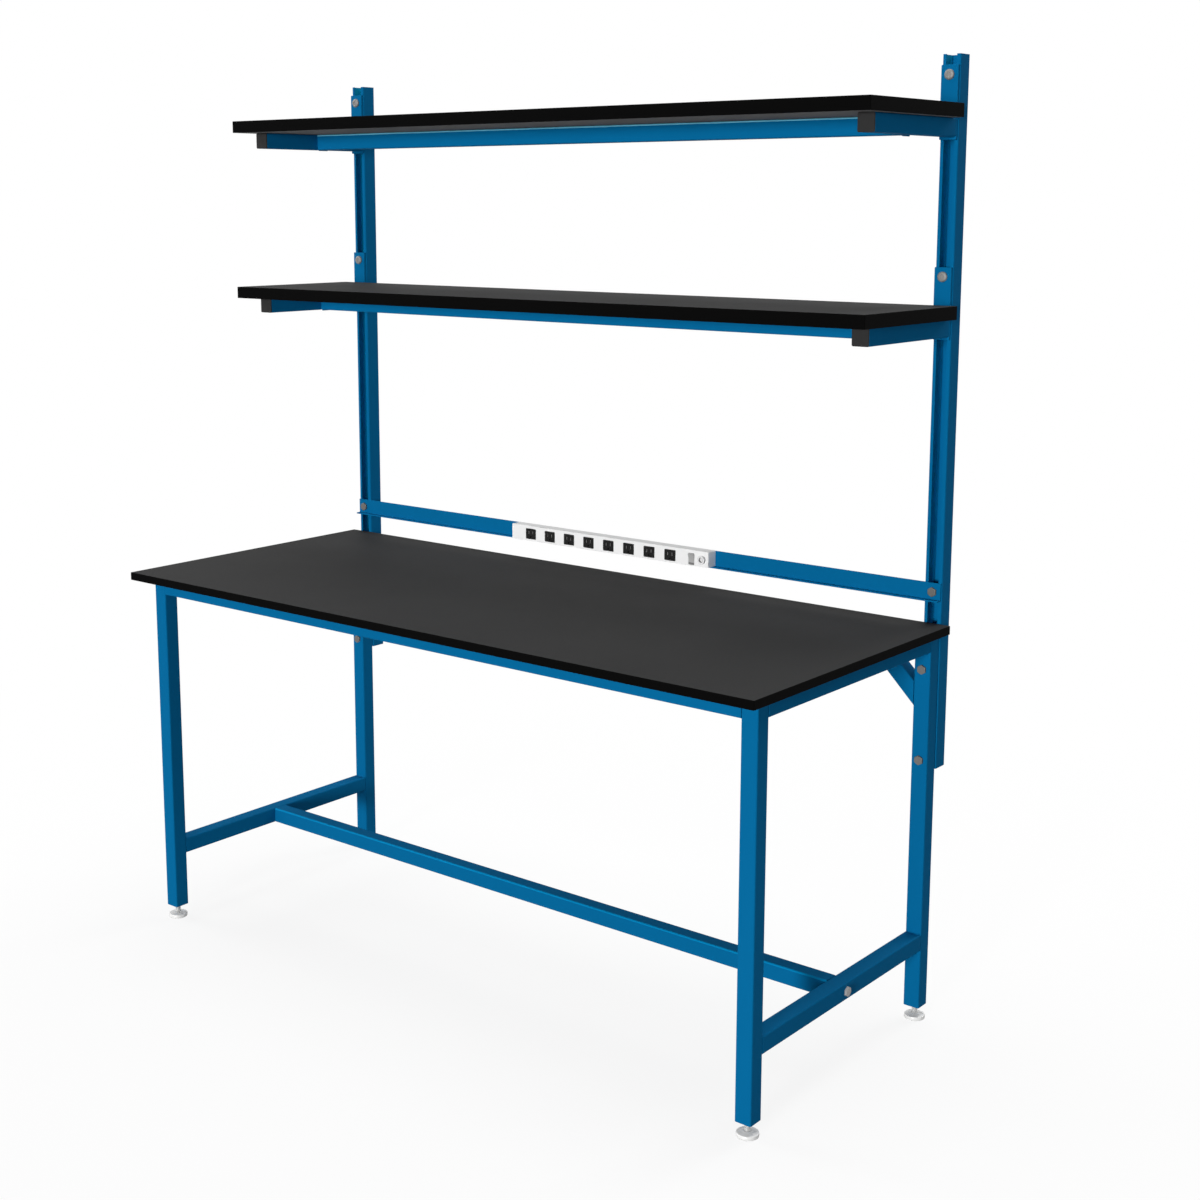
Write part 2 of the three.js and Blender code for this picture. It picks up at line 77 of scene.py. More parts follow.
MM = 0.001
SMOOTH_ANGLE = math.radians(35)
MIDDLE = 0.5
EPSILON = 0.01 * MM
SECOND_FINISH = 1
FEW_LAYERS = 1.0
SOME_LAYERS = 2.0
MANY_LAYERS = 3.0
CORNER_STEPS = 5
BEND_STEPS = 3
WELD_SECTION = ((0, 0), (1, 0), (0.62, 0.34), (0.34, 0.62), (0, 1))
WELD_RUN = ((-1, 0.3), (-0.96, 1), (0.96, 1), (1, 0.3))
SIDES = {"left": -1, "right": 1}
ENDS = ("front", "rear")

Triple = tuple[float, float, float]
Colour = Triple
Outline = list[Vector]
Ring = list[bmesh.types.BMVert]
Value = Union["Wire", float, Sequence[float]]


class Wire:
    """A shader socket that takes part in Python arithmetic."""

    def __init__(self, graph: "Graph", socket: bpy.types.NodeSocket) -> None:
        """Keeps the socket and the graph that it belongs to."""
        self.graph = graph
        self.socket = socket

    def __add__(self, other: Value) -> "Wire":
        """Adds a value to this wire."""
        return self.graph.combine("ADD", self, other)

    def __radd__(self, other: Value) -> "Wire":
        """Adds this wire to a value."""
        return self.graph.combine("ADD", other, self)

    def __sub__(self, other: Value) -> "Wire":
        """Takes a value from this wire."""
        return self.graph.combine("SUBTRACT", self, other)

    def __rsub__(self, other: Value) -> "Wire":
        """Takes this wire from a value."""
        return self.graph.combine("SUBTRACT", other, self)

    def __mul__(self, other: Value) -> "Wire":
        """Multiplies this wire by a value."""
        return self.graph.combine("MULTIPLY", self, other)

    def __rmul__(self, other: Value) -> "Wire":
        """Multiplies a value by this wire."""
        return self.graph.combine("MULTIPLY", other, self)


class Graph:
    """The node tree of one material or of the world."""

    def __init__(self, tree: bpy.types.NodeTree) -> None:
        """Empties the tree that the nodes go into."""
        self.tree = tree
        self.tree.nodes.clear()

    def node(
        self,
        kind: str,
        settings: Mapping[str, Any] | None = None,
        sockets: Mapping[str | int, Value] | None = None,
    ) -> bpy.types.Node:
        """Makes one node, with its settings first and then its sockets.

        Args:
            kind: The node's type.
            settings: Values of the node's own properties; "stops" gives a ramp's places and colours.
            sockets: A value or a wire for each input, by name or place.

        Returns:
            The new node.
        """
        made = self.tree.nodes.new(kind)
        for key, value in (settings or {}).items():
            if key == "stops":
                self._set_stops(made, value)
            else:
                setattr(made, key, value)
        for key, value in (sockets or {}).items():
            target = made.inputs[key]
            if isinstance(value, Wire):
                self.tree.links.new(value.socket, target)
            elif target.type == "RGBA":
                target.default_value = (*value, 1.0)
            else:
                target.default_value = value
        return made

    @staticmethod
    def _set_stops(ramp: bpy.types.Node, stops: Sequence[tuple[float, Colour]]) -> None:
        """Sets a colour ramp's stops.

        Args:
            ramp: The colour ramp node.
            stops: The place and colour of each stop, in order.
        """
        elements = ramp.color_ramp.elements
        while len(elements) < len(stops):
            elements.new(1.0)
        for element, (place, colour) in zip(elements, stops):
            element.position = place
            element.color = (*colour, 1.0)

    def wire(
        self,
        kind: str,
        settings: Mapping[str, Any] | None = None,
        sockets: Mapping[str | int, Value] | None = None,
        output: str | int = 0,
    ) -> Wire:
        """Makes a node and gives one of its outputs.

        Args:
            kind: The node's type.
            settings: Values of the node's own properties.
            sockets: A value or a wire for each input.
            output: The name or place of the output.

        Returns:
            The output as a wire.
        """
        return Wire(self, self.node(kind, settings, sockets).outputs[output])

    def combine(self, operation: str, first: Value, second: Value) -> Wire:
        """Joins two values, of which one at least is a wire, by arithmetic.

        Args:
            operation: The name of the operation.
            first: The value on the left.
            second: The value on the right.

        Returns:
            The result, as a colour or a vector if either value is one.
        """
        pair = (first, second)
        kinds = {value.socket.type for value in pair if isinstance(value, Wire)}
        if kinds == {"VALUE"}:
            return self.wire("ShaderNodeMath", {"operation": operation}, dict(enumerate(pair)))
        spread = [value if isinstance(value, (Wire, tuple)) else grey(value) for value in pair]
        if "RGBA" in kinds:
            return self.blend(operation, 1.0, *spread)
        return self.wire("ShaderNodeVectorMath", {"operation": operation}, dict(enumerate(spread)))

    def blend(self, operation: str, factor: Value, first: Value, second: Value) -> Wire:
        """Joins two colours.

        Args:
            operation: The way of joining them.
            factor: The share of the joined colour in the result.
            first: The first colour.
            second: The second colour.

        Returns:
            The joined colour.
        """
        settings = {"data_type": "RGBA", "blend_type": operation}
        return self.wire("ShaderNodeMix", settings, {0: factor, 6: first, 7: second}, 2)

    def shade(self, colour: Colour, value: Wire, spread: float) -> Wire:
        """Lets a colour waver.

        Args:
            colour: The colour at the middle of the value's range.
            value: The value, from 0 to 1, that the colour follows.
            spread: How much darker and lighter the colour gets.

        Returns:
            The wavering colour.
        """
        return colour * self.blend("MIX", value, grey(1 - spread), grey(1 + spread))

    def place(self) -> Wire:
        """Gives the point of the surface in the piece's own metres."""
        return self.wire("ShaderNodeTexCoord", output="Object")

    def noise(self, place: Wire, size: float, layers: float = SOME_LAYERS) -> Wire:
        """Gives a cloudy value from 0 to 1.

        Args:
            place: The point to look up.
            size: The width of one cloud, in metres.
            layers: The number of finer layers.

        Returns:
            The cloud's value.
        """
        sockets = {"Vector": place, "Scale": 1 / size, "Detail": layers}
        return self.wire("ShaderNodeTexNoise", None, sockets)

    def flecks(self, place: Wire, size: float) -> Wire:
        """Gives the distance from the middle of small scattered cells.

        Args:
            place: The point to look up.
            size: The width of one cell, in metres.

        Returns:
            The distance, in widths of a cell.
        """
        return self.wire("ShaderNodeTexVoronoi", None, {"Vector": place, "Scale": 1 / size}, "Distance")

    def ramp(self, value: Wire, stops: Sequence[tuple[float, Colour]]) -> Wire:
        """Turns a value into a colour.

        Args:
            value: The value, from 0 to 1.
            stops: The place and colour of each stop.

        Returns:
            The colour.
        """
        return self.wire("ShaderNodeValToRGB", {"stops": stops}, {"Fac": value})

    def bump(self, height: Wire, depth: float) -> Wire:
        """Turns a height into a normal.

        Args:
            height: The height, from 0 to 1.
            depth: The height in metres that 1 stands for.

        Returns:
            The normal.
        """
        return self.wire("ShaderNodeBump", None, {"Height": height, "Distance": depth}, "Normal")

    def seen(self) -> Wire:
        """Gives 1 for the rays that show the surroundings: straight, mirrored or through glass.

        Returns:
            The share of white to show.
        """
        path = self.node("ShaderNodeLightPath").outputs
        names = ("Is Camera Ray", "Is Glossy Ray", "Is Transmission Ray")
        straight, mirrored, through = (Wire(self, path[name]) for name in names)
        return straight + mirrored + through

    def surface(self, sockets: Mapping[str | int, Value]) -> None:
        """Ends a material with a principled shader that has these sockets."""
        self.output(self.wire("ShaderNodeBsdfPrincipled", None, sockets))

    def output(self, shader: Wire, kind: str = "ShaderNodeOutputMaterial") -> None:
        """Joins a shader to the tree's output."""
        self.node(kind, None, {"Surface": shader})


def grey(level: float) -> Colour:
    """Gives a neutral colour of one level."""
    return (level, level, level)


@dataclass(frozen=True)
class Finish:
    """A surface finish, made into one material that all its pieces share."""

    name: str

    @functools.cache
    def material(self) -> bpy.types.Material:
        """Makes the material once.

        Returns:
            The material.
        """
        made = bpy.data.materials.new(self.name)
        made.use_nodes = True
        self.dress(Graph(made.node_tree))
        return made

    def dress(self, graph: Graph) -> None:
        """Fills the material's node tree."""
        raise NotImplementedError


@dataclass(frozen=True)
class PowderPaint(Finish):
    """Satin powder coat with a fine orange peel."""

    colour: Colour
    drift: float = 0.05
    patch: float = 0.22
    peel: float = 1.6 * MM
    peel_depth: float = 0.02 * MM
    roughness: float = 0.8
    gloss_drift: float = 0.1
    specular: float = 0.05

    def dress(self, graph: Graph) -> None:
        """Fills the tree with drifting colour, uneven gloss and orange peel.

        Args:
            graph: The material's tree.
        """
        place = graph.place()
        patches = graph.noise(place, self.patch)
        peel = graph.noise(place, self.peel, FEW_LAYERS)
        graph.surface({
            "Base Color": graph.shade(self.colour, patches, self.drift),
            "Roughness": self.roughness + self.gloss_drift * (peel - MIDDLE),
            "Specular IOR Level": self.specular,
            "Normal": graph.bump(peel, self.peel_depth),
        })


@dataclass(frozen=True)
class Laminate(Finish):
    """Pressed laminate with a fine pebble and faint flecks."""

    colour: Colour
    fleck: Colour
    fleck_share: float = 0.35
    fleck_size: float = 2.4 * MM
    fleck_edge: tuple[float, float] = (0.1, 0.3)
    pebble: float = 1.1 * MM
    pebble_depth: float = 0.03 * MM
    rub: float = 0.3
    roughness: float = 0.72
    gloss_drift: float = 0.08
    specular: float = 0.07

    def dress(self, graph: Graph) -> None:
        """Fills the tree with flecks, a pebbled height and rubbed patches.

        Args:
            graph: The material's tree.
        """
        place = graph.place()
        pebble = graph.noise(place, self.pebble)
        rubbed = graph.noise(place, self.rub, MANY_LAYERS)
        stops = list(zip(self.fleck_edge, (grey(self.fleck_share), grey(0.0))))
        flecks = graph.ramp(graph.flecks(place, self.fleck_size), stops)
        share = graph.wire("ShaderNodeRGBToBW", None, {"Color": flecks})
        graph.surface({
            "Base Color": graph.blend("MIX", share, self.colour, self.fleck),
            "Roughness": self.roughness + self.gloss_drift * (rubbed - MIDDLE),
            "Specular IOR Level": self.specular,
            "Normal": graph.bump(pebble, self.pebble_depth),
        })


@dataclass(frozen=True)
class EdgeBand(Finish):
    """Black plastic edge band with drawn lines along the edge."""

    colour: Colour
    contrast: float = 0.2
    line: float = 0.7 * MM
    line_depth: float = 0.01 * MM
    stretch: Triple = (0.02, 0.02, 1.0)
    roughness: float = 0.85
    gloss_drift: float = 0.1
    specular: float = 0.03

    def dress(self, graph: Graph) -> None:
        """Fills the tree with lines that run level along the band.

        Args:
            graph: The material's tree.
        """
        lines = graph.noise(graph.place() * self.stretch, self.line, FEW_LAYERS)
        graph.surface({
            "Base Color": graph.shade(self.colour, lines, self.contrast),
            "Roughness": self.roughness + self.gloss_drift * (lines - MIDDLE),
            "Specular IOR Level": self.specular,
            "Normal": graph.bump(lines, self.line_depth),
        })


@dataclass(frozen=True)
class PlatedSteel(Finish):
    """Zinc-plated steel with cloudy plating and a dull grain."""

    colour: Colour
    contrast: float = 0.15
    cloud: float = 6 * MM
    cloud_gloss: float = 0.12
    grain: float = 0.5 * MM
    grain_gloss: float = 0.08
    grain_depth: float = 0.02 * MM
    roughness: float = 0.4
    metal: float = 0.85

    def dress(self, graph: Graph) -> None:
        """Fills the tree with clouds of plating over a fine grain.

        Args:
            graph: The material's tree.
        """
        place = graph.place()
        clouds = graph.noise(place, self.cloud, MANY_LAYERS)
        grain = graph.noise(place, self.grain, FEW_LAYERS)
        dull = self.cloud_gloss * (clouds - MIDDLE) + self.grain_gloss * (grain - MIDDLE)
        graph.surface({
            "Base Color": graph.shade(self.colour, clouds, self.contrast),
            "Metallic": self.metal,
            "Roughness": self.roughness + dull,
            "Normal": graph.bump(grain, self.grain_depth),
        })


@dataclass(frozen=True)
class TurnedSteel(Finish):
    """Turned steel with the tool's rings round an upright axis."""

    colour: Colour
    contrast: float = 0.04
    smear: float = 8 * MM
    smear_gloss: float = 0.1
    ring: float = 0.4 * MM
    ring_gloss: float = 0.05
    ring_depth: float = 0.008 * MM
    stretch: Triple = (0.05, 0.05, 1.0)
    roughness: float = 0.45
    metal: float = 0.25

    def dress(self, graph: Graph) -> None:
        """Fills the tree with fine rings that follow the height.

        Args:
            graph: The material's tree.
        """
        place = graph.place()
        rings = graph.noise(place * self.stretch, self.ring, FEW_LAYERS)
        smears = graph.noise(place, self.smear)
        dull = self.smear_gloss * (smears - MIDDLE) + self.ring_gloss * (rings - MIDDLE)
        graph.surface({
            "Base Color": graph.shade(self.colour, smears, self.contrast),
            "Metallic": self.metal,
            "Roughness": self.roughness + dull,
            "Normal": graph.bump(rings, self.ring_depth),
        })


@dataclass(frozen=True)
class MouldedPlastic(Finish):
    """Moulded plastic with a spark-eroded grain."""

    colour: Colour
    drift: float = 0.07
    flow: float = 14 * MM
    grain: float = 0.45 * MM
    grain_depth: float = 0.02 * MM
    roughness: float = 0.5
    gloss_drift: float = 0.1
    specular: float = 0.2

    def dress(self, graph: Graph) -> None:
        """Fills the tree with a fine grain and a faint flow of colour.

        Args:
            graph: The material's tree.
        """
        place = graph.place()
        grain = graph.noise(place, self.grain)
        graph.surface({
            "Base Color": graph.shade(self.colour, graph.noise(place, self.flow), self.drift),
            "Roughness": self.roughness + self.gloss_drift * (grain - MIDDLE),
            "Specular IOR Level": self.specular,
            "Normal": graph.bump(grain, self.grain_depth),
        })


BLUE_PAINT = PowderPaint("blue_powder_paint", (0.0, 0.135, 0.325))
# Paler blue for the channel's inner side walls: painted light that lifts the shade inside the channel.
INNER_WALL_PAINTED_LIGHT = PowderPaint("inner_wall_painted_light_paint", (0.0, 0.46, 0.72))
# Paler blue for the upper front corner of tubes that run across: a painted highlight.
TUBE_PAINTED_HIGHLIGHT = PowderPaint("tube_arris_painted_highlight", (0.0, 0.235, 0.52))
# Pale cyan for the shelf rails' upper front corner: a painted highlight where the board's shade falls.
RAIL_PAINTED_HIGHLIGHT = PowderPaint("rail_arris_painted_highlight", (0.2, 0.68, 0.9))
CHARCOAL_TOP = Laminate("charcoal_laminate", grey(0.0235), grey(0.054))
BACKING = Laminate("grey_backing_sheet", grey(0.14), grey(0.17))
BLACK_BAND = EdgeBand("black_edge_band", grey(0.0015))
ZINC = PlatedSteel("zinc_plated_steel", (0.135, 0.13, 0.125), roughness=0.5, metal=0.35)
PALE_ZINC = PlatedSteel("pale_zinc_plated_steel", (0.235, 0.23, 0.225), roughness=0.55, metal=0.3)
# Lighter zinc for the stretcher bolts, which face the shaded side: painted light.
ZINC_PAINTED_LIGHT = PlatedSteel("zinc_with_painted_light", (0.37, 0.365, 0.36), roughness=0.55, metal=0.3)
BRIGHT_THREAD = PlatedSteel("bright_thread_steel", (0.6, 0.6, 0.59), roughness=0.5, metal=0.4)
FOOT_STEEL = TurnedSteel("turned_foot_steel", (0.9, 0.9, 0.89), metal=0.1)
CAP_PLASTIC = MouldedPlastic("dark_cap_plastic", grey(0.026), roughness=0.7, specular=0.1)
OUTLET_PLASTIC = MouldedPlastic("black_outlet_plastic", grey(0.012), roughness=0.42)
STRIP_PAINT = PowderPaint("white_strip_enamel", grey(0.95), drift=0.02, peel=1.2 * MM)
# Greyer enamel on the strip's top and bottom faces: painted shade.
STRIP_PAINTED_SHADE_ENAMEL = PowderPaint("strip_enamel_painted_shade", grey(0.68), drift=0.02, peel=1.2 * MM)
ROCKER_PLASTIC = MouldedPlastic("grey_rocker_plastic", grey(0.45), roughness=0.38)
RESET_PLASTIC = MouldedPlastic("white_button_plastic", grey(0.78), roughness=0.3)
# Dark grey band on the rocker's lower edge: painted shade of the gap under it.
ROCKER_GAP_SHADE_PLASTIC = MouldedPlastic("rocker_gap_painted_shade", grey(0.2))
# Mid grey on the bezel's inner and outer side walls: painted shade.
BEZEL_WALL_SHADE_PLASTIC = MouldedPlastic("collar_painted_shade_plastic", grey(0.52))


class Facing(Enum):
    """The way in which a form's length runs, with its two cross directions."""

    UP = ((1, 0, 0), (0, 1, 0), (0, 0, 1))
    RIGHT = ((0, 1, 0), (0, 0, 1), (1, 0, 0))
    LEFT = ((0, -1, 0), (0, 0, 1), (-1, 0, 0))
    FRONT = ((1, 0, 0), (0, 0, 1), (0, -1, 0))

    @property
    def across(self) -> Vector:
        """Gives the first cross direction."""
        return Vector(self.value[0])

    @property
    def way(self) -> Vector:
        """Gives the direction in which the length runs."""
        return Vector(self.value[2])

    def length(self, box: "Extent") -> float:
        """Gives how long a box is in this direction."""
        return abs(box.size.dot(self.way))

    def at(self, origin: Vector) -> Matrix:
        """Gives the matrix that sets a form down at a point.

        Args:
            origin: Where the form's own origin goes.

        Returns:
            The matrix from the form's frame to the bench's.
        """
        turn = Matrix([Vector(axis) for axis in self.value]).transposed()
        return Matrix.Translation(origin) @ turn.to_4x4()


def arc(centre: Vector, radius: float, start: float, end: float, steps: int = CORNER_STEPS) -> Outline:
    """Gives the points of an arc.

    Args:
        centre: The arc's centre.
        radius: The arc's radius.
        start: The first angle, in degrees.
        end: The last angle, in degrees.
        steps: The number of straight stretches.

    Returns:
        The points in order.
    """
    angles = [math.radians(start + (end - start) * step / steps) for step in range(steps + 1)]
    return [centre + radius * Vector((math.cos(a), math.sin(a))) for a in angles]


def rounded_rectangle(
    width: float, height: float, radius: float, middle: Vector = Vector((0, 0))
) -> Outline:
    """Gives the outline of a rectangle with round corners.

    Args:
        width: The size across.
        height: The size up.
        radius: The corners' radius.
        middle: The rectangle's middle.

    Returns:
        The points, counter-clockwise.
    """
    x, y = width / 2 - radius, height / 2 - radius
    corners = [(x, y), (-x, y), (-x, -y), (x, -y)]
    outline: Outline = []
    for quarter, corner in enumerate(corners):
        outline += arc(middle + Vector(corner), radius, 90 * quarter, 90 * quarter + 90)
    return outline


def circle(radius: float, middle: Vector = Vector((0, 0)), steps: int = 40) -> Outline:
    """Gives the points of a circle.

    Args:
        radius: The circle's radius.
        middle: The circle's middle.
        steps: The number of points.

    Returns:
        The points, counter-clockwise.
    """
    return arc(middle, radius, 0, 360, steps)[:-1]


def signed_area(outline: Outline) -> float:
    """Gives an outline's area, positive if it runs counter-clockwise."""
    return sum(a.cross(b) for a, b in zip(outline, outline[1:] + outline[:1])) / 2


def inset(outline: Outline, distance: float) -> Outline:
    """Moves an outline to the left of its own way.

    Args:
        outline: The points in order.
        distance: How far each side moves.

    Returns:
        The moved points.
    """
    moved = []
    for before, here, after in zip(outline[-1:] + outline[:-1], outline, outline[1:] + outline[:1]):
        first, second = (here - before).normalized(), (after - here).normalized()
        left = Vector((-first.y, first.x)), Vector((-second.y, second.x))
        moved.append(here + (left[0] + left[1]) * distance / (1 + left[0].dot(left[1])))
    return moved


class Solid:
    """A piece in the making, in the bench's own metres."""

    def __init__(self) -> None:
        """Starts with no faces."""
        self.mesh = bmesh.new()

    def _points(self, place: Matrix, flat: Outline, height: float) -> Ring:
        """Adds an outline's points at one height.

        Args:
            place: The matrix to the bench's frame.
            flat: The outline.
            height: The height along the form's length.

        Returns:
            The new vertices.
        """
        return [self.mesh.verts.new(place @ Vector((p.x, p.y, height))) for p in flat]

    def band(self, lower: Ring, upper: Ring, slot: int = 0) -> None:
        """Closes the band between two rings of vertices.

        Args:
            lower: The first ring.
            upper: The second ring, with as many vertices, or one for a pole.
            slot: The material slot of the faces.
        """
        count = max(len(lower), len(upper))
        for index in range(count):
            after = (index + 1) % count
            corners = [lower[index % len(lower)], lower[after % len(lower)]]
            corners += [upper[after % len(upper)], upper[index % len(upper)]]
            face = self.mesh.faces.new(list(dict.fromkeys(corners)))
            face.material_index = slot

    def prism(
        self,
        place: Matrix,
        outline: Outline,
        start: float,
        end: float,
        ease: float,
        holes: Sequence[Outline] = (),
        slots: tuple[int, int, int] = (0, 0, 0),
    ) -> None:
        """Adds a flat outline drawn out along its length, with eased edges at both ends.

        Args:
            place: The matrix to the bench's frame.
            outline: The outer outline.
            start: Where the length starts.
            end: Where it ends.
            ease: The radius of the edges at both ends.
            holes: Outlines of holes right through.
            slots: The material slots of the start, of the sides and of the end.
        """
        loops = [outline if signed_area(outline) > 0 else outline[::-1]]
        loops += [hole if signed_area(hole) < 0 else hole[::-1] for hole in holes]
        angles = [math.pi / 2 * step / BEND_STEPS for step in range(BEND_STEPS + 1)]
        profile = [(ease * (1 - math.sin(a)), start + ease * (1 - math.cos(a))) for a in angles]
        profile += [(depth, start + end - height) for depth, height in reversed(profile)]
        caps: tuple[list[Ring], list[Ring]] = ([], [])
        for loop in loops:
            rings = [self._points(place, inset(loop, depth), height) for depth, height in profile]
            for lower, upper in zip(rings, rings[1:]):
                self.band(lower, upper, slots[1])
            caps[0].append(rings[0])
            caps[1].append(rings[-1])
        flat = [inset(loop, ease) for loop in loops]
        self._cap(caps[0], flat, slots[0], True)
        self._cap(caps[1], flat, slots[2], False)

    def _cap(self, rings: list[Ring], flat: list[Outline], slot: int, turned: bool) -> None:
        """Closes the end of a prism.

        Args:
            rings: The vertices of the outline and of each hole.
            flat: The same points in the outline's plane.
            slot: The material slot of the faces.
            turned: Whether the faces look against the length.
        """
        if len(rings) == 1:
            faces = [rings[0]]
        else:
            vertices = [vertex for ring in rings for vertex in ring]
            triangles = tessellate_polygon([[p.to_3d() for p in loop] for loop in flat])
            points = [p for loop in flat for p in loop]
            faces = []
            for triangle in triangles:
                corners = list(triangle)
                if signed_area([points[corner] for corner in corners]) < 0:
                    corners.reverse()
                faces.append([vertices[corner] for corner in corners])
        for corners in faces:
            face = self.mesh.faces.new(corners[::-1] if turned else corners)
            face.material_index = slot

    def rings(self, place: Matrix, rings: Sequence[tuple[Outline, float]]) -> None:
        """Adds a closed form through a row of rings.

        Args:
            place: The matrix to the bench's frame.
            rings: Each ring's outline, of one point at a pole, and its height.
        """
        rows = [self._points(place, flat, height) for flat, height in rings]
        for lower, upper in zip(rows, rows[1:]):
            self.band(lower, upper)
        for row, turned in ((rows[0], True), (rows[-1], False)):
            if len(row) > 1:
                self.mesh.faces.new(row[::-1] if turned else row)

    def turned(
        self, place: Matrix, profile: Sequence[tuple[float, float]], steps: int = 48
    ) -> None:
        """Adds a turned form.

        Args:
            place: The matrix to the bench's frame, whose length is the axis.
            profile: The radius and height of each ring, from the low pole to the high one.
            steps: The number of points in a ring.
        """
        pole = [Vector((0, 0))]
        rows = [(circle(r, steps=steps) if r > 0 else pole, height) for r, height in profile]
        self.rings(place, rows)

    def polar(
        self,
        place: Matrix,
        radius: Callable[[float, float], float],
        heights: Sequence[float],
        steps: int,
    ) -> None:
        """Adds a closed form whose radius is a function of the angle and the height.

        Args:
            place: The matrix to the bench's frame, whose length is the axis.
            radius: The radius at an angle and a height.
            heights: The heights of the rings.
            steps: The number of points in a ring.
        """
        angles = [2 * math.pi * step / steps for step in range(steps)]
        rows = []
        for height in heights:
            row = [radius(a, height) * Vector((math.cos(a), math.sin(a))) for a in angles]
            rows.append((row, height))
        self.rings(place, rows)

    def fillet(self, corner: Vector, run: Vector, sides: tuple[Vector, Vector], leg: float) -> None:
        """Adds a straight weld fillet in an inside corner.

        Args:
            corner: The middle of the corner's line.
            run: Half of the fillet's length, along the corner.
            sides: The two directions in which the fillet's legs lie.
            leg: The length of each leg.
        """
        rows = []
        for along, share in WELD_RUN:
            foot = corner + along * run
            spans = [leg * share * (a * sides[0] + b * sides[1]) for a, b in WELD_SECTION]
            rows.append([self.mesh.verts.new(foot + span) for span in spans])
        for lower, upper in zip(rows, rows[1:]):
            self.band(lower, upper)
        self.mesh.faces.new(rows[0][::-1])
        self.mesh.faces.new(rows[-1])

    def publish(self, node: str, finishes: Sequence[Finish]) -> None:
        """Makes the piece that stands for a node and lets it ride on the node's body.

        Args:
            node: The node that the piece stands for.
            finishes: The finish of each material slot.
        """
        bmesh.ops.recalc_face_normals(self.mesh, faces=self.mesh.faces)
        data = bpy.data.meshes.new(f"dressed_{node}")
        self.mesh.to_mesh(data)
        self.mesh.free()
        for finish in finishes:
            data.materials.append(finish.material())
        data.shade_smooth()
        data.set_sharp_from_angle(angle=SMOOTH_ANGLE)
        made = bpy.data.objects.new(f"dressed_{node}", data)
        bpy.context.scene.collection.objects.link(made)
        weighted = made.modifiers.new("even_flats", "WEIGHTED_NORMAL")
        weighted.keep_sharp = True
        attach(made, frame["nodes"][node]["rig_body"])
        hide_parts(node)
        log.info("%s", made.name)


@dataclass(frozen=True)
class Extent:
    """The box of a node at rest."""

    low: Vector
    high: Vector

    @classmethod
    def of(cls, node: str) -> "Extent":
        """Gives the box of a named node."""
        return cls(*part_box(node))

    @property
    def middle(self) -> Vector:
        """Gives the middle of the box."""
        return (self.low + self.high) / 2

    @property
    def size(self) -> Vector:
        """Gives the three sizes of the box."""
        return self.high - self.low


@dataclass
class SquareTube:
    """The welded square tube that the frame, the arms and the shelf rails are made of."""

    wall: float = 2 * MM
    radius: float = 3.4 * MM
    bore_radius: float = 1.6 * MM
    end_ease: float = 0.4 * MM
    weld: float = 2.4 * MM

    def loops(self, width: float) -> tuple[Outline, Outline]:
        """Gives the outlines of the tube and of its bore.

        Args:
            width: The tube's width.

        Returns:
            The outer outline and the bore.
        """
        bore = width - 2 * self.wall
        inner = rounded_rectangle(bore, bore, self.bore_radius)
        return rounded_rectangle(width, width, self.radius), inner

    def straight(self, solid: Solid, box: Extent, facing: Facing) -> None:
        """Adds a tube that fills a box.

        Args:
            solid: The piece in the making.
            box: The box to fill.
            facing: The way in which the tube runs.
        """
        length = facing.length(box)
        across, up, _ = facing.value
        width = max(abs(box.size.dot(Vector(side))) for side in (across, up))
        outline, bore = self.loops(width)
        origin = box.middle - facing.way * length / 2
        solid.prism(facing.at(origin), outline, 0, length, self.end_ease, [bore])

    def paint_highlight_on_arris(self, solid: Solid, box: Extent) -> None:
        """Gives the upper front corner of a tube that runs across the bench its second finish, a
        painted highlight.

        Args:
            solid: The piece in the making.
            box: The tube's box.
        """
        for face in solid.mesh.faces:
            middle = face.calc_center_median()
            over, ahead = middle.z - box.high.z + self.radius, box.low.y + self.radius - middle.y
            if min(over, ahead) > 0 and math.hypot(over, ahead) > self.radius - self.wall / 2:
                face.material_index = SECOND_FINISH

    def end_welds(self, solid: Solid, box: Extent, facing: Facing, ups: Sequence[int]) -> None:
        """Adds weld fillets over or under the ends of a level tube.

        Args:
            solid: The piece in the making.
            box: The tube's box.
            facing: The way in which the tube runs.
            ups: 1 for the tube's top and -1 for its underside.
        """
        half, height = facing.length(box) / 2, box.size.z / 2
        run = facing.across * (height - self.radius)
        for end in (-1, 1):
            for up in ups:
                rise = Vector((0, 0, up))
                corner = box.middle + end * half * facing.way + height * rise
                solid.fillet(corner, run, (-end * facing.way, rise), self.weld)


class BoardSlot(IntEnum):
    """The material slots of a board."""

    TOP = 0
    BACK = 1
    BAND = 2


@dataclass
class Board:
    """A pressed board with laminate on top, a backing sheet below and a banded edge."""

    node: str
    slot: str
    corner: float = 2.0 * MM
    ease: float = 1.2 * MM

    def build(self) -> None:
        """Builds and dresses the board."""
        box = Extent.of(self.node)
        solid = Solid()
        outline = rounded_rectangle(box.size.x, box.size.y, self.corner)
        base = Vector((box.middle.x, box.middle.y, box.low.z))
        slots = (BoardSlot.BACK, BoardSlot.BAND, BoardSlot.TOP)
        solid.prism(Facing.UP.at(base), outline, 0, box.size.z, self.ease, slots=slots)
        solid.publish(self.node, [CHARCOAL_TOP, BACKING, BLACK_BAND])


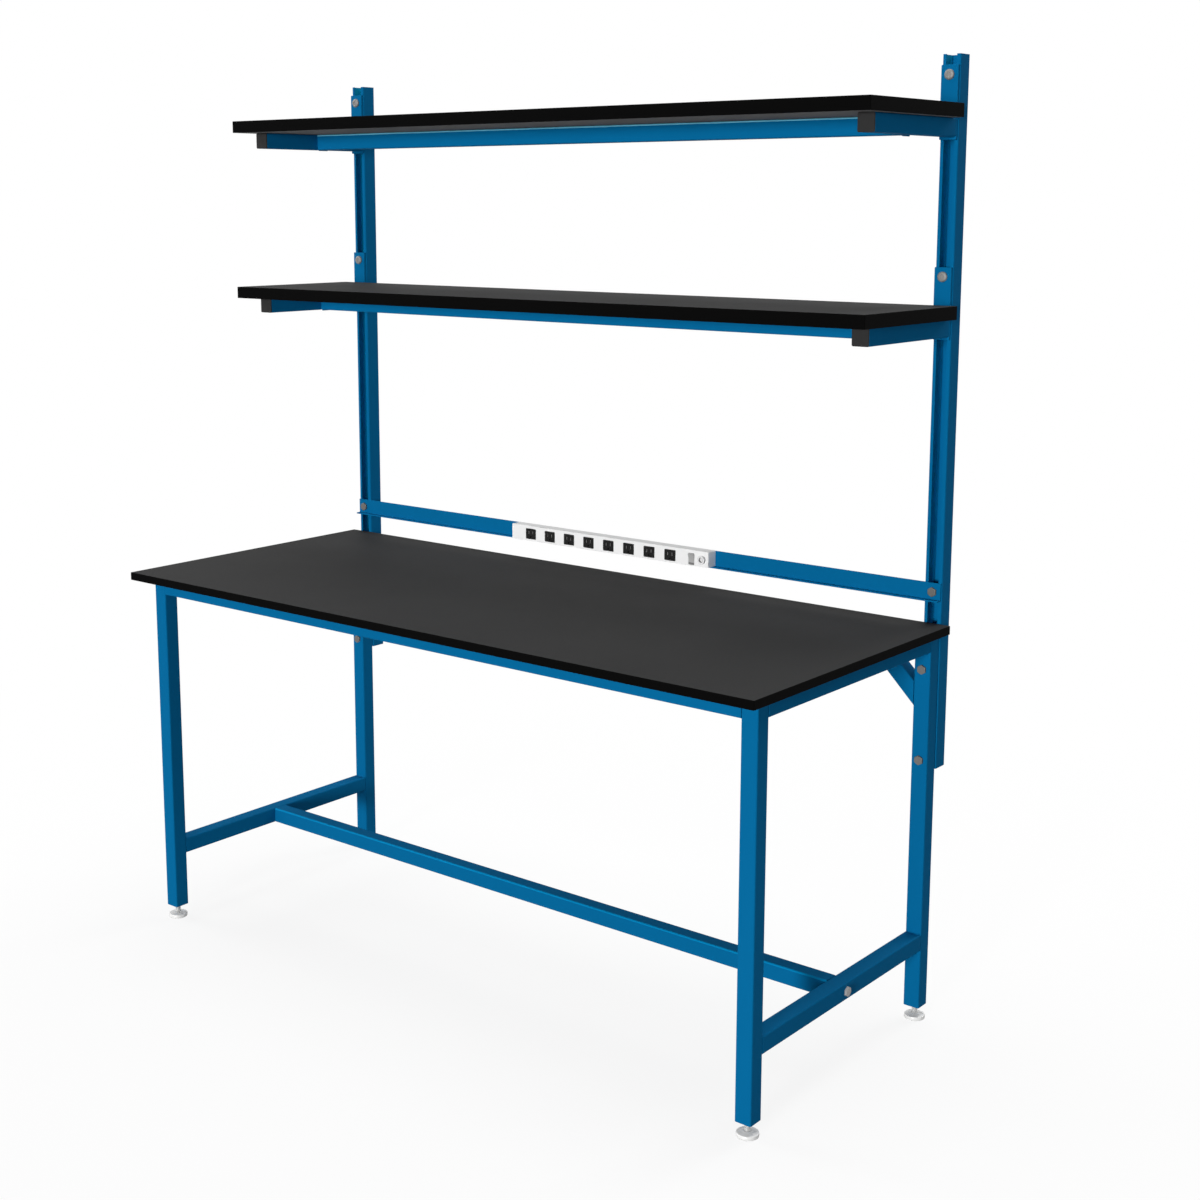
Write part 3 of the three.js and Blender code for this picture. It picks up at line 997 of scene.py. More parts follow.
@dataclass
class TubeFrame:
    """The welded frame: legs, rails, stretchers and corner braces."""

    tube: SquareTube = field(default_factory=SquareTube)
    foot_plate: float = 8 * MM
    stem_hole: float = 13.3 * MM
    plate_inset: float = 0.6 * MM
    plate_ease: float = 0.3 * MM

    def build(self) -> None:
        """Builds every tube of the frame."""
        for end in ENDS:
            for side in SIDES:
                self.leg(f"{end}_{side}_leg")
            self.level(f"{end}_rail", Facing.RIGHT, [-1])
        for side, sign in SIDES.items():
            self.level(f"{side}_rail", Facing.FRONT, [-1])
            self.level(f"{side}_stretcher", Facing.FRONT, [-1, 1])
            self.brace(f"{side}_brace", sign)
        self.level("centre_stretcher", Facing.RIGHT, [])

    def leg(self, node: str) -> None:
        """Builds a leg with the tapped plate in its foot.

        Args:
            node: The leg's node.
        """
        box = Extent.of(node)
        solid = Solid()
        self.tube.straight(solid, box, Facing.UP)
        width = box.size.x - 2 * self.tube.wall
        base = Vector((box.middle.x, box.middle.y, box.low.z + self.plate_inset))
        plate = rounded_rectangle(width, width, self.tube.bore_radius)
        hole = circle(self.stem_hole / 2)
        height = self.foot_plate - self.plate_inset
        solid.prism(Facing.UP.at(base), plate, 0, height, self.plate_ease, [hole])
        solid.publish(node, [BLUE_PAINT])

    def level(self, node: str, facing: Facing, ups: Sequence[int]) -> None:
        """Builds a level tube with welds at its ends.

        Args:
            node: The tube's node.
            facing: The way in which the tube runs.
            ups: The sides, over or under, that are welded.
        """
        box = Extent.of(node)
        solid = Solid()
        self.tube.straight(solid, box, facing)
        self.tube.end_welds(solid, box, facing, ups)
        # Tubes that run across get a painted highlight on their upper front corner.
        if facing is Facing.RIGHT:
            self.tube.paint_highlight_on_arris(solid, box)
        solid.publish(node, [BLUE_PAINT, TUBE_PAINTED_HIGHLIGHT])

    def brace(self, node: str, sign: int) -> None:
        """Builds a tube at 45 degrees with mitred ends.

        Args:
            node: The brace's node.
            sign: -1 for the left corner and 1 for the right.
        """
        box = Extent.of(node)
        width = box.size.y
        reach = box.size.z - width / math.sqrt(2)
        leg_side = box.high.x if sign > 0 else box.low.x
        centre = Vector((leg_side - sign * reach / 2, box.middle.y, box.high.z - reach / 2))
        outward = Vector((sign, 0, 1)).normalized()
        solid = Solid()
        rows = []
        for outline in self.tube.loops(width):
            lower, upper = [], []
            for point in outline:
                base = centre + point.x * outward + Vector((0, point.y, 0))
                to_leg, to_rail = abs(leg_side - base.x), box.high.z - base.z
                lower.append(solid.mesh.verts.new(base + to_leg * Vector((sign, 0, -1))))
                upper.append(solid.mesh.verts.new(base + to_rail * Vector((-sign, 0, 1))))
            rows.append((lower, upper))
        (outer_low, outer_high), (bore_low, bore_high) = rows
        loop = (outer_low, outer_high, bore_high, bore_low, outer_low)
        for pair in zip(loop, loop[1:]):
            solid.band(*pair)
        self.brace_welds(solid, box, sign, leg_side)
        solid.publish(node, [BLUE_PAINT])

    def brace_welds(self, solid: Solid, box: Extent, sign: int, leg_side: float) -> None:
        """Adds the weld fillets at the blunt corners of a brace.

        Args:
            solid: The piece in the making.
            box: The brace's box.
            sign: -1 for the left corner and 1 for the right.
            leg_side: The place of the leg's inner face.
        """
        far_side = box.low.x if sign > 0 else box.high.x
        run = Vector((0, box.size.y / 2 - self.tube.radius, 0))
        slope = Vector((-sign, 0, 1)).normalized()
        low_corner = Vector((leg_side, box.middle.y, box.low.z))
        high_corner = Vector((far_side, box.middle.y, box.high.z))
        solid.fillet(low_corner, run, (Vector((0, 0, -1)), slope), self.tube.weld)
        solid.fillet(high_corner, run, (Vector((-sign, 0, 0)), -slope), self.tube.weld)


@dataclass
class LevellingFoot:
    """A turned pad and the threaded stem that turns in it."""

    corner: str
    edge: float = 2.6 * MM
    edge_turn: float = 78.0
    rim_height: float = 9.5 * MM
    socket: float = 13.3 * MM
    collar: float = 20.5 * MM
    lip: float = 0.5 * MM
    floor: float = 4 * MM
    pitch: float = 1.954 * MM
    thread_depth: float = 1.05 * MM
    flank_slope: float = 2.6
    flank_start: float = 0.15
    rings_per_turn: int = 8
    lead: float = 1.5 * MM
    pad_steps: int = 64
    stem_steps: int = 32

    def build(self) -> None:
        """Builds the pad and the stem."""
        self.pad(f"{self.corner}_foot_pad")
        self.stem(f"{self.corner}_foot_stem")

    def pad(self, node: str) -> None:
        """Builds the pad with a rounded rim and a socket for the stem.

        Args:
            node: The pad's node.
        """
        box = Extent.of(node)
        rim = box.size.x / 2
        base = Vector((box.middle.x, box.middle.y, 0))
        low = arc(Vector((rim - self.edge, box.low.z + self.edge)), self.edge, -90, 0)
        high = arc(Vector((rim - self.edge, self.rim_height - self.edge)), self.edge, 0, self.edge_turn)
        top, lip = box.high.z, self.lip
        collar, socket = self.collar / 2, self.socket / 2
        profile = [(0, box.low.z)] + [tuple(point) for point in low + high]
        profile += [(collar, top - lip), (collar - lip, top), (socket + lip, top)]
        profile += [(socket, top - lip), (socket, self.floor), (0, self.floor)]
        solid = Solid()
        solid.turned(Facing.UP.at(base), profile, steps=self.pad_steps)
        solid.publish(node, [FOOT_STEEL])

    def stem(self, node: str) -> None:
        """Builds the stem with its thread.

        Args:
            node: The stem's node.
        """
        box = Extent.of(node)
        crest = box.size.y / 2

        def radius(angle: float, height: float) -> float:
            """Gives the thread's radius.

            Args:
                angle: The angle round the stem.
                height: The height from the stem's foot.

            Returns:
                The radius there.
            """
            turn = (height / self.pitch - angle / (2 * math.pi)) % 1.0
            thread = min(1.0, max(0.0, self.flank_slope * abs(turn - MIDDLE) - self.flank_start))
            lead = min(1.0, height / self.lead, (box.size.z - height) / self.lead)
            return crest - self.thread_depth * max(thread, 1 - max(lead, 0.0))

        count = int(box.size.z / self.pitch * self.rings_per_turn)
        heights = [box.size.z * row / count for row in range(count + 1)]
        base = Vector((box.middle.x, box.middle.y, box.low.z))
        solid = Solid()
        solid.polar(Facing.UP.at(base), radius, heights, self.stem_steps)
        solid.publish(node, [BRIGHT_THREAD])


@dataclass
class Upright:
    """A slotted channel that stands behind a rear leg."""

    side: str
    wall: float = 2.5 * MM
    radius: float = 3.5 * MM
    slot: float = 24 * MM
    end_ease: float = 0.5 * MM
    inside_margin: float = 0.1 * MM

    def outline(self, box: Extent) -> Outline:
        """Gives the channel's section, with its slot to the front.

        Args:
            box: The upright's box.

        Returns:
            The points, counter-clockwise, from the front face's middle.
        """
        half, depth, lip = box.size.x / 2, box.size.y, self.slot / 2
        bend, inner = self.radius, self.radius - self.wall
        points = [Vector((lip, 0))]
        points += arc(Vector((half - bend, bend)), bend, -90, 0)
        points += arc(Vector((half - bend, depth - bend)), bend, 0, 90)
        points += arc(Vector((bend - half, depth - bend)), bend, 90, 180)
        points += arc(Vector((bend - half, bend)), bend, 180, 270)
        points += [Vector((-lip, 0)), Vector((-lip, self.wall))]
        points += arc(Vector((bend - half, bend)), inner, 270, 180, BEND_STEPS)
        points += arc(Vector((bend - half, depth - bend)), inner, 180, 90, BEND_STEPS)
        points += arc(Vector((half - bend, depth - bend)), inner, 90, 0, BEND_STEPS)
        points += arc(Vector((half - bend, bend)), inner, 0, -90, BEND_STEPS)
        return points + [Vector((lip, self.wall))]

    def build(self) -> None:
        """Builds and dresses the channel, with painted light on its inner side walls."""
        node = f"{self.side}_upright"
        box = Extent.of(node)
        solid = Solid()
        base = Vector((box.middle.x, box.low.y, box.low.z))
        solid.prism(Facing.UP.at(base), self.outline(box), 0, box.size.z, self.end_ease)
        # The inner side walls take a paler blue: painted light over the shade inside the channel.
        inside = box.size.x / 2 - self.wall
        for face in solid.mesh.faces:
            across = [abs(vertex.co.x - base.x) - inside for vertex in face.verts]
            if max(map(abs, across)) < self.inside_margin:
                face.material_index = SECOND_FINISH
        solid.publish(node, [BLUE_PAINT, INNER_WALL_PAINTED_LIGHT])


class Head(Enum):
    """The kinds of bolt head on the bench."""

    HEX = "hex"
    BUTTON = "button"


@dataclass
class Bolt:
    """A bolt with its head, shank and, in a channel, its nut."""

    node: str
    facing: Facing
    head: Head
    diameter: float
    width: float
    height: float
    nut: float = 0.0
    finish: Finish = ZINC
    washer_face: float = 0.5 * MM
    washer_share: float = 0.95
    chamfer: float = 30.0
    chamfer_share: float = 0.96
    chamfer_steps: int = 6
    rim_ease: float = 0.4 * MM
    crown: float = 13 * MM
    edge: float = 1.8 * MM
    dome_steps: int = 6
    socket: float = 8 * MM
    socket_mouth: float = 1.08
    socket_depth: float = 1 * MM
    tip: float = 0.8 * MM
    lap: float = 0.2 * MM
    nut_corner: float = 1.5 * MM
    nut_ease: float = 0.6 * MM
    steps: int = 72

    def build(self) -> None:
        """Builds the bolt in the box of its node."""
        box = Extent.of(self.node)
        length = self.facing.length(box)
        seat = box.middle + self.facing.way * (length / 2 - self.height)
        place = self.facing.at(seat)
        solid = Solid()
        if self.head is Head.HEX:
            self.hex_head(solid, place)
        else:
            self.button_head(solid, place)
        radius, end = self.diameter / 2, self.height - length + self.nut / 2
        shank = [(0, end), (radius - self.tip, end), (radius, end + self.tip)]
        solid.turned(place, shank + [(radius, self.lap), (0, self.lap)])
        if self.nut:
            self.channel_nut(solid, place, box, self.height - length)
        solid.publish(self.node, [self.finish])

    def hexagon(self, flats: float, angle: float) -> float:
        """Gives a hexagon's radius at an angle, from its size across flats."""
        return flats / 2 / math.cos((angle + math.pi / 6) % (math.pi / 3) - math.pi / 6)

    def hex_head(self, solid: Solid, place: Matrix) -> None:
        """Adds a hex head with a washer face and a turned chamfer.

        Args:
            solid: The piece in the making.
            place: The matrix whose origin is the head's seat.
        """
        face = self.width / 2 * self.chamfer_share
        slope = math.tan(math.radians(self.chamfer))

        def radius(angle: float, height: float) -> float:
            """Gives the head's radius.

            Args:
                angle: The angle round the bolt.
                height: The height over the seat.

            Returns:
                The radius there.
            """
            if height < self.washer_face:
                return self.width / 2 * self.washer_share
            return min(self.hexagon(self.width, angle), face + (self.height - height) / slope)

        fall = (self.hexagon(self.width, math.pi / 6) - face) * slope
        heights = [0.0, self.washer_face - EPSILON, self.washer_face]
        for step in range(self.chamfer_steps + 1):
            heights.append(self.height - fall * (1 - step / self.chamfer_steps))
        solid.polar(place, radius, heights, self.steps)

    def button_head(self, solid: Solid, place: Matrix) -> None:
        """Adds a domed button head with a hex socket.

        Args:
            solid: The piece in the making.
            place: The matrix whose origin is the head's seat.
        """
        rim, crown, top = self.width / 2, self.crown / 2, self.height
        profile = [(rim - self.rim_ease, 0.0), (rim, self.rim_ease)]
        for step in range(self.dome_steps + 1):
            turn = math.pi / 2 * step / self.dome_steps
            rise = self.edge + (top - self.edge) * math.sin(turn)
            profile.append((crown + (rim - crown) * math.cos(turn), rise))
        rows = [(circle(radius, steps=self.steps), height) for radius, height in profile]
        angles = [2 * math.pi * step / self.steps for step in range(self.steps)]
        for size, drop in ((self.socket_mouth, 0), (1, self.rim_ease), (1, self.socket_depth)):
            flats = self.socket * size
            hole = [self.hexagon(flats, a) * Vector((math.cos(a), math.sin(a))) for a in angles]
            rows.append((hole, top - drop))
        solid.rings(place, rows)

    def channel_nut(self, solid: Solid, place: Matrix, box: Extent, end: float) -> None:
        """Adds the nut that slides in the channel.

        Args:
            solid: The piece in the making.
            place: The matrix whose origin is the head's seat.
            box: The bolt's box.
            end: The nut's far end along the bolt.
        """
        outline = rounded_rectangle(box.size.x, box.size.z, self.nut_corner)
        solid.prism(place, outline, end, end + self.nut, self.nut_ease)


@dataclass
class FrameBolts:
    """The hex bolts through the rear legs and through the side stretchers."""

    diameter: float = 12 * MM
    flats: float = 19 * MM
    head: float = 5 * MM
    nut: float = 7 * MM

    def build(self) -> None:
        """Builds every frame bolt."""
        sizes = (Head.HEX, self.diameter, self.flats, self.head)
        for side in SIDES:
            for level in ("upper", "lower"):
                Bolt(f"{side}_{level}_leg_bolt", Facing.FRONT, *sizes, self.nut).build()
        # The stretcher bolts face the shaded side and take a lighter zinc: painted light.
        Bolt("left_stretcher_bolt", Facing.LEFT, *sizes, finish=ZINC_PAINTED_LIGHT).build()
        Bolt("right_stretcher_bolt", Facing.RIGHT, *sizes, finish=ZINC_PAINTED_LIGHT).build()


@dataclass
class Shelf:
    """One tier: a board on two bracket arms that are tied by a rail and clamped to the uprights."""

    tier: str
    tube: SquareTube = field(default_factory=SquareTube)
    plate: float = 6 * MM
    plate_corner: float = 2 * MM
    plate_ease: float = 0.6 * MM
    plate_above: float = 79 * MM
    bolt_height: float = 59 * MM
    bolt_hole: float = 10.3 * MM
    clamp: float = 9.5 * MM
    button: float = 22 * MM
    button_height: float = 5.5 * MM
    nut: float = 7 * MM
    cap_dome: float = 1.4 * MM
    cap_face: float = 3.9 * MM
    cap_gap: float = 0.3 * MM
    cap_wall: float = 2 * MM
    cap_ease: float = 0.15 * MM

    def build(self) -> None:
        """Builds every piece of the tier."""
        Board(f"{self.tier}_shelf_board", "shelf_laminate").build()
        self.rail(f"{self.tier}_shelf_rail")
        for side in SIDES:
            self.bracket(f"{self.tier}_{side}_bracket", f"{self.tier}_{side}_arm_cap")
            self.cap(f"{self.tier}_{side}_arm_cap")
            sizes = (Head.BUTTON, self.clamp, self.button, self.button_height, self.nut)
            Bolt(f"{self.tier}_{side}_clamp_bolt", Facing.FRONT, *sizes, finish=PALE_ZINC).build()

    def rail(self, node: str) -> None:
        """Builds the rail between the arms, with a painted highlight on its upper front corner.

        Args:
            node: The rail's node.
        """
        box = Extent.of(node)
        solid = Solid()
        self.tube.straight(solid, box, Facing.RIGHT)
        self.tube.end_welds(solid, box, Facing.RIGHT, [-1])
        # The upper front corner gets a painted highlight.
        self.tube.paint_highlight_on_arris(solid, box)
        solid.publish(node, [BLUE_PAINT, RAIL_PAINTED_HIGHLIGHT])

    def bracket(self, node: str, cap: str) -> None:
        """Builds a bracket: an arm welded to the front of a clamp plate.

        Args:
            node: The bracket's node.
            cap: The node of the cap in the arm's end, which gives the arm's height and width.
        """
        box, end = Extent.of(node), Extent.of(cap)
        solid = Solid()
        face = box.high.y - self.plate
        root = face + self.plate / 2
        low, high = (end.low.x, box.low.y, end.low.z), (end.high.x, root, end.high.z)
        arm = Extent(Vector(low), Vector(high))
        self.tube.straight(solid, arm, Facing.FRONT)
        base = Vector((box.middle.x, box.high.y, box.middle.z))
        outline = rounded_rectangle(box.size.x, box.size.z, self.plate_corner)
        hole_height = box.high.z - self.plate_above + self.bolt_height - box.middle.z
        hole = circle(self.bolt_hole / 2, Vector((0, hole_height)))
        solid.prism(Facing.FRONT.at(base), outline, 0, self.plate, self.plate_ease, [hole])
        self.arm_welds(solid, arm, face)
        solid.publish(node, [BLUE_PAINT])

    def arm_welds(self, solid: Solid, arm: Extent, face: float) -> None:
        """Adds the weld fillets over and under the arm's root.

        Args:
            solid: The piece in the making.
            arm: The arm's box.
            face: The place of the plate's front face.
        """
        run = Vector((arm.size.x / 2 - self.tube.radius, 0, 0))
        for up in (-1, 1):
            corner = Vector((arm.middle.x, face, arm.middle.z + up * arm.size.z / 2))
            solid.fillet(corner, run, (Vector((0, -1, 0)), Vector((0, 0, up))), self.tube.weld)

    def cap(self, node: str) -> None:
        """Builds the plastic cap in the arm's end, with a domed edge and a hollow plug.

        Args:
            node: The cap's node.
        """
        box = Extent.of(node)
        solid = Solid()
        base = Vector((box.middle.x, box.low.y + self.cap_face, box.middle.z))
        outline = rounded_rectangle(box.size.x, box.size.z, self.tube.radius)
        solid.prism(Facing.FRONT.at(base), outline, 0, self.cap_face, self.cap_dome)
        plug = box.size.x - 2 * (self.tube.wall + self.cap_gap)
        inside = plug - 2 * self.cap_wall
        collar = rounded_rectangle(plug, plug, self.tube.bore_radius)
        well = rounded_rectangle(inside, inside, self.tube.bore_radius)
        depth = box.size.y - self.cap_face
        solid.prism(Facing.FRONT.at(base), collar, -depth, self.cap_ease, self.cap_ease, [well])
        solid.publish(node, [CAP_PLASTIC])


@dataclass
class PowerRail:
    """The angle bar across the uprights that carries the power strip."""

    sheet: float = 3 * MM
    bend: float = 2 * MM
    edge: float = 0.5 * MM
    clamp: float = 9.5 * MM
    flats: float = 19 * MM
    head: float = 5 * MM
    nut: float = 7 * MM

    def build(self) -> None:
        """Builds the bar and its bolts."""
        box = Extent.of("power_rail")
        depth, height = box.size.y, box.size.z
        corner = Vector((depth - self.sheet - self.bend, self.sheet + self.bend))
        section = [Vector((0, 0)), Vector((depth - self.bend, 0))]
        section += arc(Vector((depth - self.bend, self.bend)), self.bend, -90, 0, BEND_STEPS)[1:]
        section += [Vector((depth, height)), Vector((depth - self.sheet, height))]
        section += arc(corner, self.bend, 0, -90, BEND_STEPS) + [Vector((0, self.sheet))]
        solid = Solid()
        solid.prism(Facing.RIGHT.at(box.low), section, 0, box.size.x, self.edge)
        solid.publish("power_rail", [BLUE_PAINT])
        for side in SIDES:
            sizes = (Head.HEX, self.clamp, self.flats, self.head, self.nut)
            Bolt(f"power_rail_{side}_bolt", Facing.FRONT, *sizes).build()


class StripSlot(IntEnum):
    """The material slots of the strip's housing."""

    ENAMEL = 0
    BUSH = 1
    # The bezel's side walls in mid grey: painted shade.
    BEZEL_WALLS_SHADE = 2
    # Top and bottom faces in a greyer enamel: painted shade.
    TOPS_PAINTED_SHADE = 3


@dataclass
class PowerStrip:
    """The power strip: its housing, outlets, rocker switch and reset button."""

    wall: float = 1.6 * MM
    inner_corner: float = 1.6 * MM / 3
    depth: float = 30 * MM
    panel_ease: float = 0.7 * MM
    seam_ease: float = 0.25 * MM
    gap: float = 0.3 * MM
    window_corner: float = 2 * MM
    outlets: int = 8
    outlet_size: tuple[float, float] = (32 * MM, 26 * MM)
    outlet_proud: float = 0.6 * MM
    outlet_ease: float = 0.5 * MM
    blade_spacing: float = 12.7 * MM
    blade_size: tuple[float, float] = (1.8 * MM, 8 * MM)
    blade_rise: float = 8 * MM / 3
    blade_corner: float = 0.3 * MM
    leaf: float = 0.3 * MM
    leaf_inset: float = 0.4 * MM
    leaf_corner: float = 0.1 * MM
    leaf_ease: float = 0.075 * MM
    earth: float = 5 * MM
    earth_steps: int = 10
    contact_depth: float = 12 * MM
    rocker_height: float = 27 * MM
    rocker_gap: float = 0.4 * MM
    rocker_lip: float = 4.7 * MM
    rocker_angle: float = 9.0
    rocker_hollow: float = 0.4 * MM
    rocker_ease: float = 0.5 * MM
    # Height of the dark band along the rocker's lower edge, which is painted shade.
    rocker_shade_band: float = 5.5 * MM
    drum_steps: int = 28
    pad_steps: int = 6
    pivot: float = 2.5 * MM
    bezel: float = 20 * MM
    bezel_proud: float = 6 * MM
    sleeve: float = 0.6 * MM
    button: float = 11.5 * MM
    button_edge: float = 0.8 * MM
    button_dish: tuple[float, float] = (3.4 * MM, 0.7 * MM)
    dish_share: float = 0.8
    flange_seat: float = 1.9 * MM
    inlet: float = 17 * MM
    inlet_bore: float = 9 * MM
    inlet_ease: float = 0.4 * MM
    bush_share: float = 0.25
    root: float = 0.5 * MM

    def build(self) -> None:
        """Builds every piece of the strip."""
        self.housing()
        for node in self.outlet_nodes():
            self.outlet(node)
        self.rocker()
        self.reset()

    def outlet_nodes(self) -> list[str]:
        """Gives the outlets' nodes, from the left."""
        return [f"outlet_{number}" for number in range(1, self.outlets + 1)]

    def shell(self) -> Extent:
        """Gives the housing's box without its inlet rim and bezel.

        Returns:
            The box.
        """
        box = Extent.of("strip_housing")
        return Extent(Vector((-box.high.x, box.high.y - self.depth, box.low.z)), box.high)

    def on_panel(self, node: str) -> Matrix:
        """Gives the place on the front panel that a node's middle lies over.

        Args:
            node: The node.

        Returns:
            The matrix of a form that stands out from the panel there.
        """
        middle = Extent.of(node).middle
        return Facing.FRONT.at(Vector((middle.x, self.shell().low.y, middle.z)))

    def windows(self, shell: Extent) -> list[Outline]:
        """Gives the openings in the front panel.

        Args:
            shell: The housing's box.

        Returns:
            The outlines, measured from the panel's middle.
        """
        rocker = (Extent.of("power_rocker").size.x, self.rocker_height)
        sized = [(node, self.outlet_size, self.gap) for node in self.outlet_nodes()]
        openings = []
        for node, (width, height), gap in sized + [("power_rocker", rocker, self.rocker_gap)]:
            middle = (Extent.of(node).middle - shell.middle).xz
            size = (width + 2 * gap, height + 2 * gap)
            openings.append(rounded_rectangle(*size, self.window_corner, middle))
        middle = (Extent.of("reset_button").middle - shell.middle).xz
        return openings + [circle(self.button / 2 + self.gap, middle)]

    def housing(self) -> None:
        """Builds the housing: a front panel with windows, walls, a back, a bezel and a cord inlet."""
        shell = self.shell()
        length, height = shell.size.x, shell.size.z
        front = Facing.FRONT.at(Vector((shell.middle.x, shell.low.y, shell.middle.z)))
        outline = rounded_rectangle(length, height, self.wall)
        inner = rounded_rectangle(length - 2 * self.wall, height - 2 * self.wall, self.inner_corner)
        solid = Solid()
        solid.prism(front, outline, -self.wall, 0, self.panel_ease, self.windows(shell))
        solid.prism(front, outline, self.wall - self.depth, -self.wall, self.seam_ease, [inner])
        solid.prism(front, outline, -self.depth, self.wall - self.depth, self.panel_ease)
        solid.mesh.normal_update()
        # Top and bottom faces take the greyer enamel: painted shade.
        for face in solid.mesh.faces:
            if abs(face.normal.z) > MIDDLE:
                face.material_index = StripSlot.TOPS_PAINTED_SHADE
        place = self.on_panel("reset_button")
        bore, sleeve = (circle(self.button / 2 + self.gap + more) for more in (0, self.sleeve))
        skin = circle(self.bezel / 2 - self.sleeve)
        lined = self.bezel_proud - self.sleeve
        solid.prism(place, skin, -self.root, self.bezel_proud, self.panel_ease, [sleeve])
        # The bezel's inner and outer side walls take mid grey: painted shade.
        for outer, inner in ((sleeve, bore), (circle(self.bezel / 2), skin)):
            slots = (StripSlot.BEZEL_WALLS_SHADE,) * 3
            solid.prism(place, outer, -self.root, lined, self.seam_ease, [inner], slots)
        self.cord_inlet(solid, shell)
        finishes = [STRIP_PAINT, OUTLET_PLASTIC, BEZEL_WALL_SHADE_PLASTIC, STRIP_PAINTED_SHADE_ENAMEL]
        solid.publish("strip_housing", finishes)

    def cord_inlet(self, solid: Solid, shell: Extent) -> None:
        """Adds the cord inlet on the strip's left end, with its black bush.

        Args:
            solid: The piece in the making.
            shell: The housing's box.
        """
        rim = shell.low.x - Extent.of("strip_housing").low.x
        place = Facing.LEFT.at(Vector((shell.low.x, shell.middle.y, shell.middle.z)))
        bore = circle(self.inlet_bore / 2)
        solid.prism(place, circle(self.inlet / 2), -self.root, rim, self.inlet_ease, [bore])
        slots = (StripSlot.BUSH,) * 3
        solid.prism(place, bore, -self.root, rim * self.bush_share, self.seam_ease, slots=slots)

    def outlet(self, node: str) -> None:
        """Builds an outlet with two blade slots, their contact leaves and an earth hole.

        Args:
            node: The outlet's node.
        """
        box = Extent.of(node)
        place = self.on_panel(node)
        width, height = self.blade_size
        slots, leaves = [], []
        for side in SIDES.values():
            middle = Vector((side * self.blade_spacing / 2, self.blade_rise))
            slots.append(rounded_rectangle(width, height, self.blade_corner, middle))
            for wall in SIDES.values():
                beside = middle + Vector((wall * (width - self.leaf) / 2, 0))
                size = (self.leaf, height - 2 * self.leaf)
                leaves.append(rounded_rectangle(*size, self.leaf_corner, beside))
        low, half = Vector((0, -height)), self.earth / 2
        corners = [low + Vector((side * half, -half)) for side in SIDES.values()]
        slots.append(arc(low, half, 0, 180, self.earth_steps) + corners)
        face = rounded_rectangle(*self.outlet_size, self.window_corner)
        flange = rounded_rectangle(box.size.x, box.size.z, self.window_corner)
        back = self.shell().low.y - box.high.y
        solid = Solid()
        solid.prism(place, face, -self.contact_depth, self.outlet_proud, self.outlet_ease, slots)
        solid.prism(place, flange, back, -self.contact_depth, self.seam_ease)
        for leaf in leaves:
            ends = (-self.contact_depth, -self.leaf_inset)
            solid.prism(place, leaf, *ends, self.leaf_ease, slots=(SECOND_FINISH,) * 3)
        solid.publish(node, [OUTLET_PLASTIC, BRIGHT_THREAD])

    def rocker(self) -> None:
        """Builds the rocker: a drum about its pivot with a valley between two hollowed pads, and
        painted shade along its lower edge.
        """
        node = "power_rocker"
        box = Extent.of(node)
        centre = Vector((box.low.x, self.shell().low.y + self.pivot, box.middle.z))
        radius, tilt = self.rocker_height / 2, math.radians(self.rocker_angle)
        corner = math.acos(self.rocker_lip / radius)
        valley = Vector((radius * math.sin(corner) * math.tan(tilt) - self.rocker_lip, 0))
        reach = 180 - math.degrees(corner)
        section = arc(Vector((0, 0)), radius, -reach, reach, self.drum_steps)
        low, steps = section[0], self.pad_steps
        for start, end in ((section[-1], valley), (valley, low)):
            for step in range(1, steps + (end is valley)):
                hollow = self.rocker_hollow * math.sin(math.pi * step / steps)
                section.append(start.lerp(end, step / steps) + Vector((hollow, 0)))
        turn = Matrix.Rotation(tilt, 2)
        section = [turn @ point for point in section]
        solid = Solid()
        solid.prism(Facing.RIGHT.at(centre), section, 0, box.size.x, self.rocker_ease)
        # The lower edge takes a dark grey band: painted shade of the gap under the rocker.
        for face in solid.mesh.faces:
            if face.calc_center_median().z < box.low.z + self.rocker_shade_band:
                face.material_index = SECOND_FINISH
        solid.publish(node, [ROCKER_PLASTIC, ROCKER_GAP_SHADE_PLASTIC])

    def reset(self) -> None:
        """Builds the reset button with a dished face and a flange behind the panel."""
        node = "reset_button"
        box = Extent.of(node)
        panel = self.shell().low.y
        radius, flange, edge = self.button / 2, box.size.x / 2, self.button_edge
        back, seat, top = panel - box.high.y, -self.flange_seat, panel - box.low.y
        dish, dip = self.button_dish
        profile = [(0, back), (flange, back), (flange, seat), (radius, seat)]
        profile += [tuple(point) for point in arc(Vector((radius - edge, top - edge)), edge, 0, 90)]
        profile += [(dish, top), (dish * self.dish_share, top - dip / 2), (0, top - dip)]
        solid = Solid()
        solid.turned(self.on_panel(node), profile)
        solid.publish(node, [RESET_PLASTIC])


@dataclass(frozen=True)
class Softbox:
    """A round softbox that faces the bench."""

    name: str
    azimuth: float
    elevation: float
    level: float
    size: float
    distance: float = 20.0
    aim: Triple = (0.0, 0.0, 1.0)

    def build(self) -> None:
        """Builds the lamp, with a power that gives its level on a face turned towards it."""
        data = bpy.data.lights.new(self.name, "AREA")
        data.shape = "DISK"
        data.size = self.size
        data.energy = self.level * (math.pi * self.distance) ** 2
        turn, rise = math.radians(self.azimuth), math.radians(self.elevation)
        level = math.cos(rise)
        way = Vector((math.sin(turn) * level, -math.cos(turn) * level, math.sin(rise)))
        made = bpy.data.objects.new(self.name, data)
        made.location = Vector(self.aim) + way * self.distance
        made.rotation_euler = way.to_track_quat("Z", "Y").to_euler()
        bpy.context.scene.collection.objects.link(made)


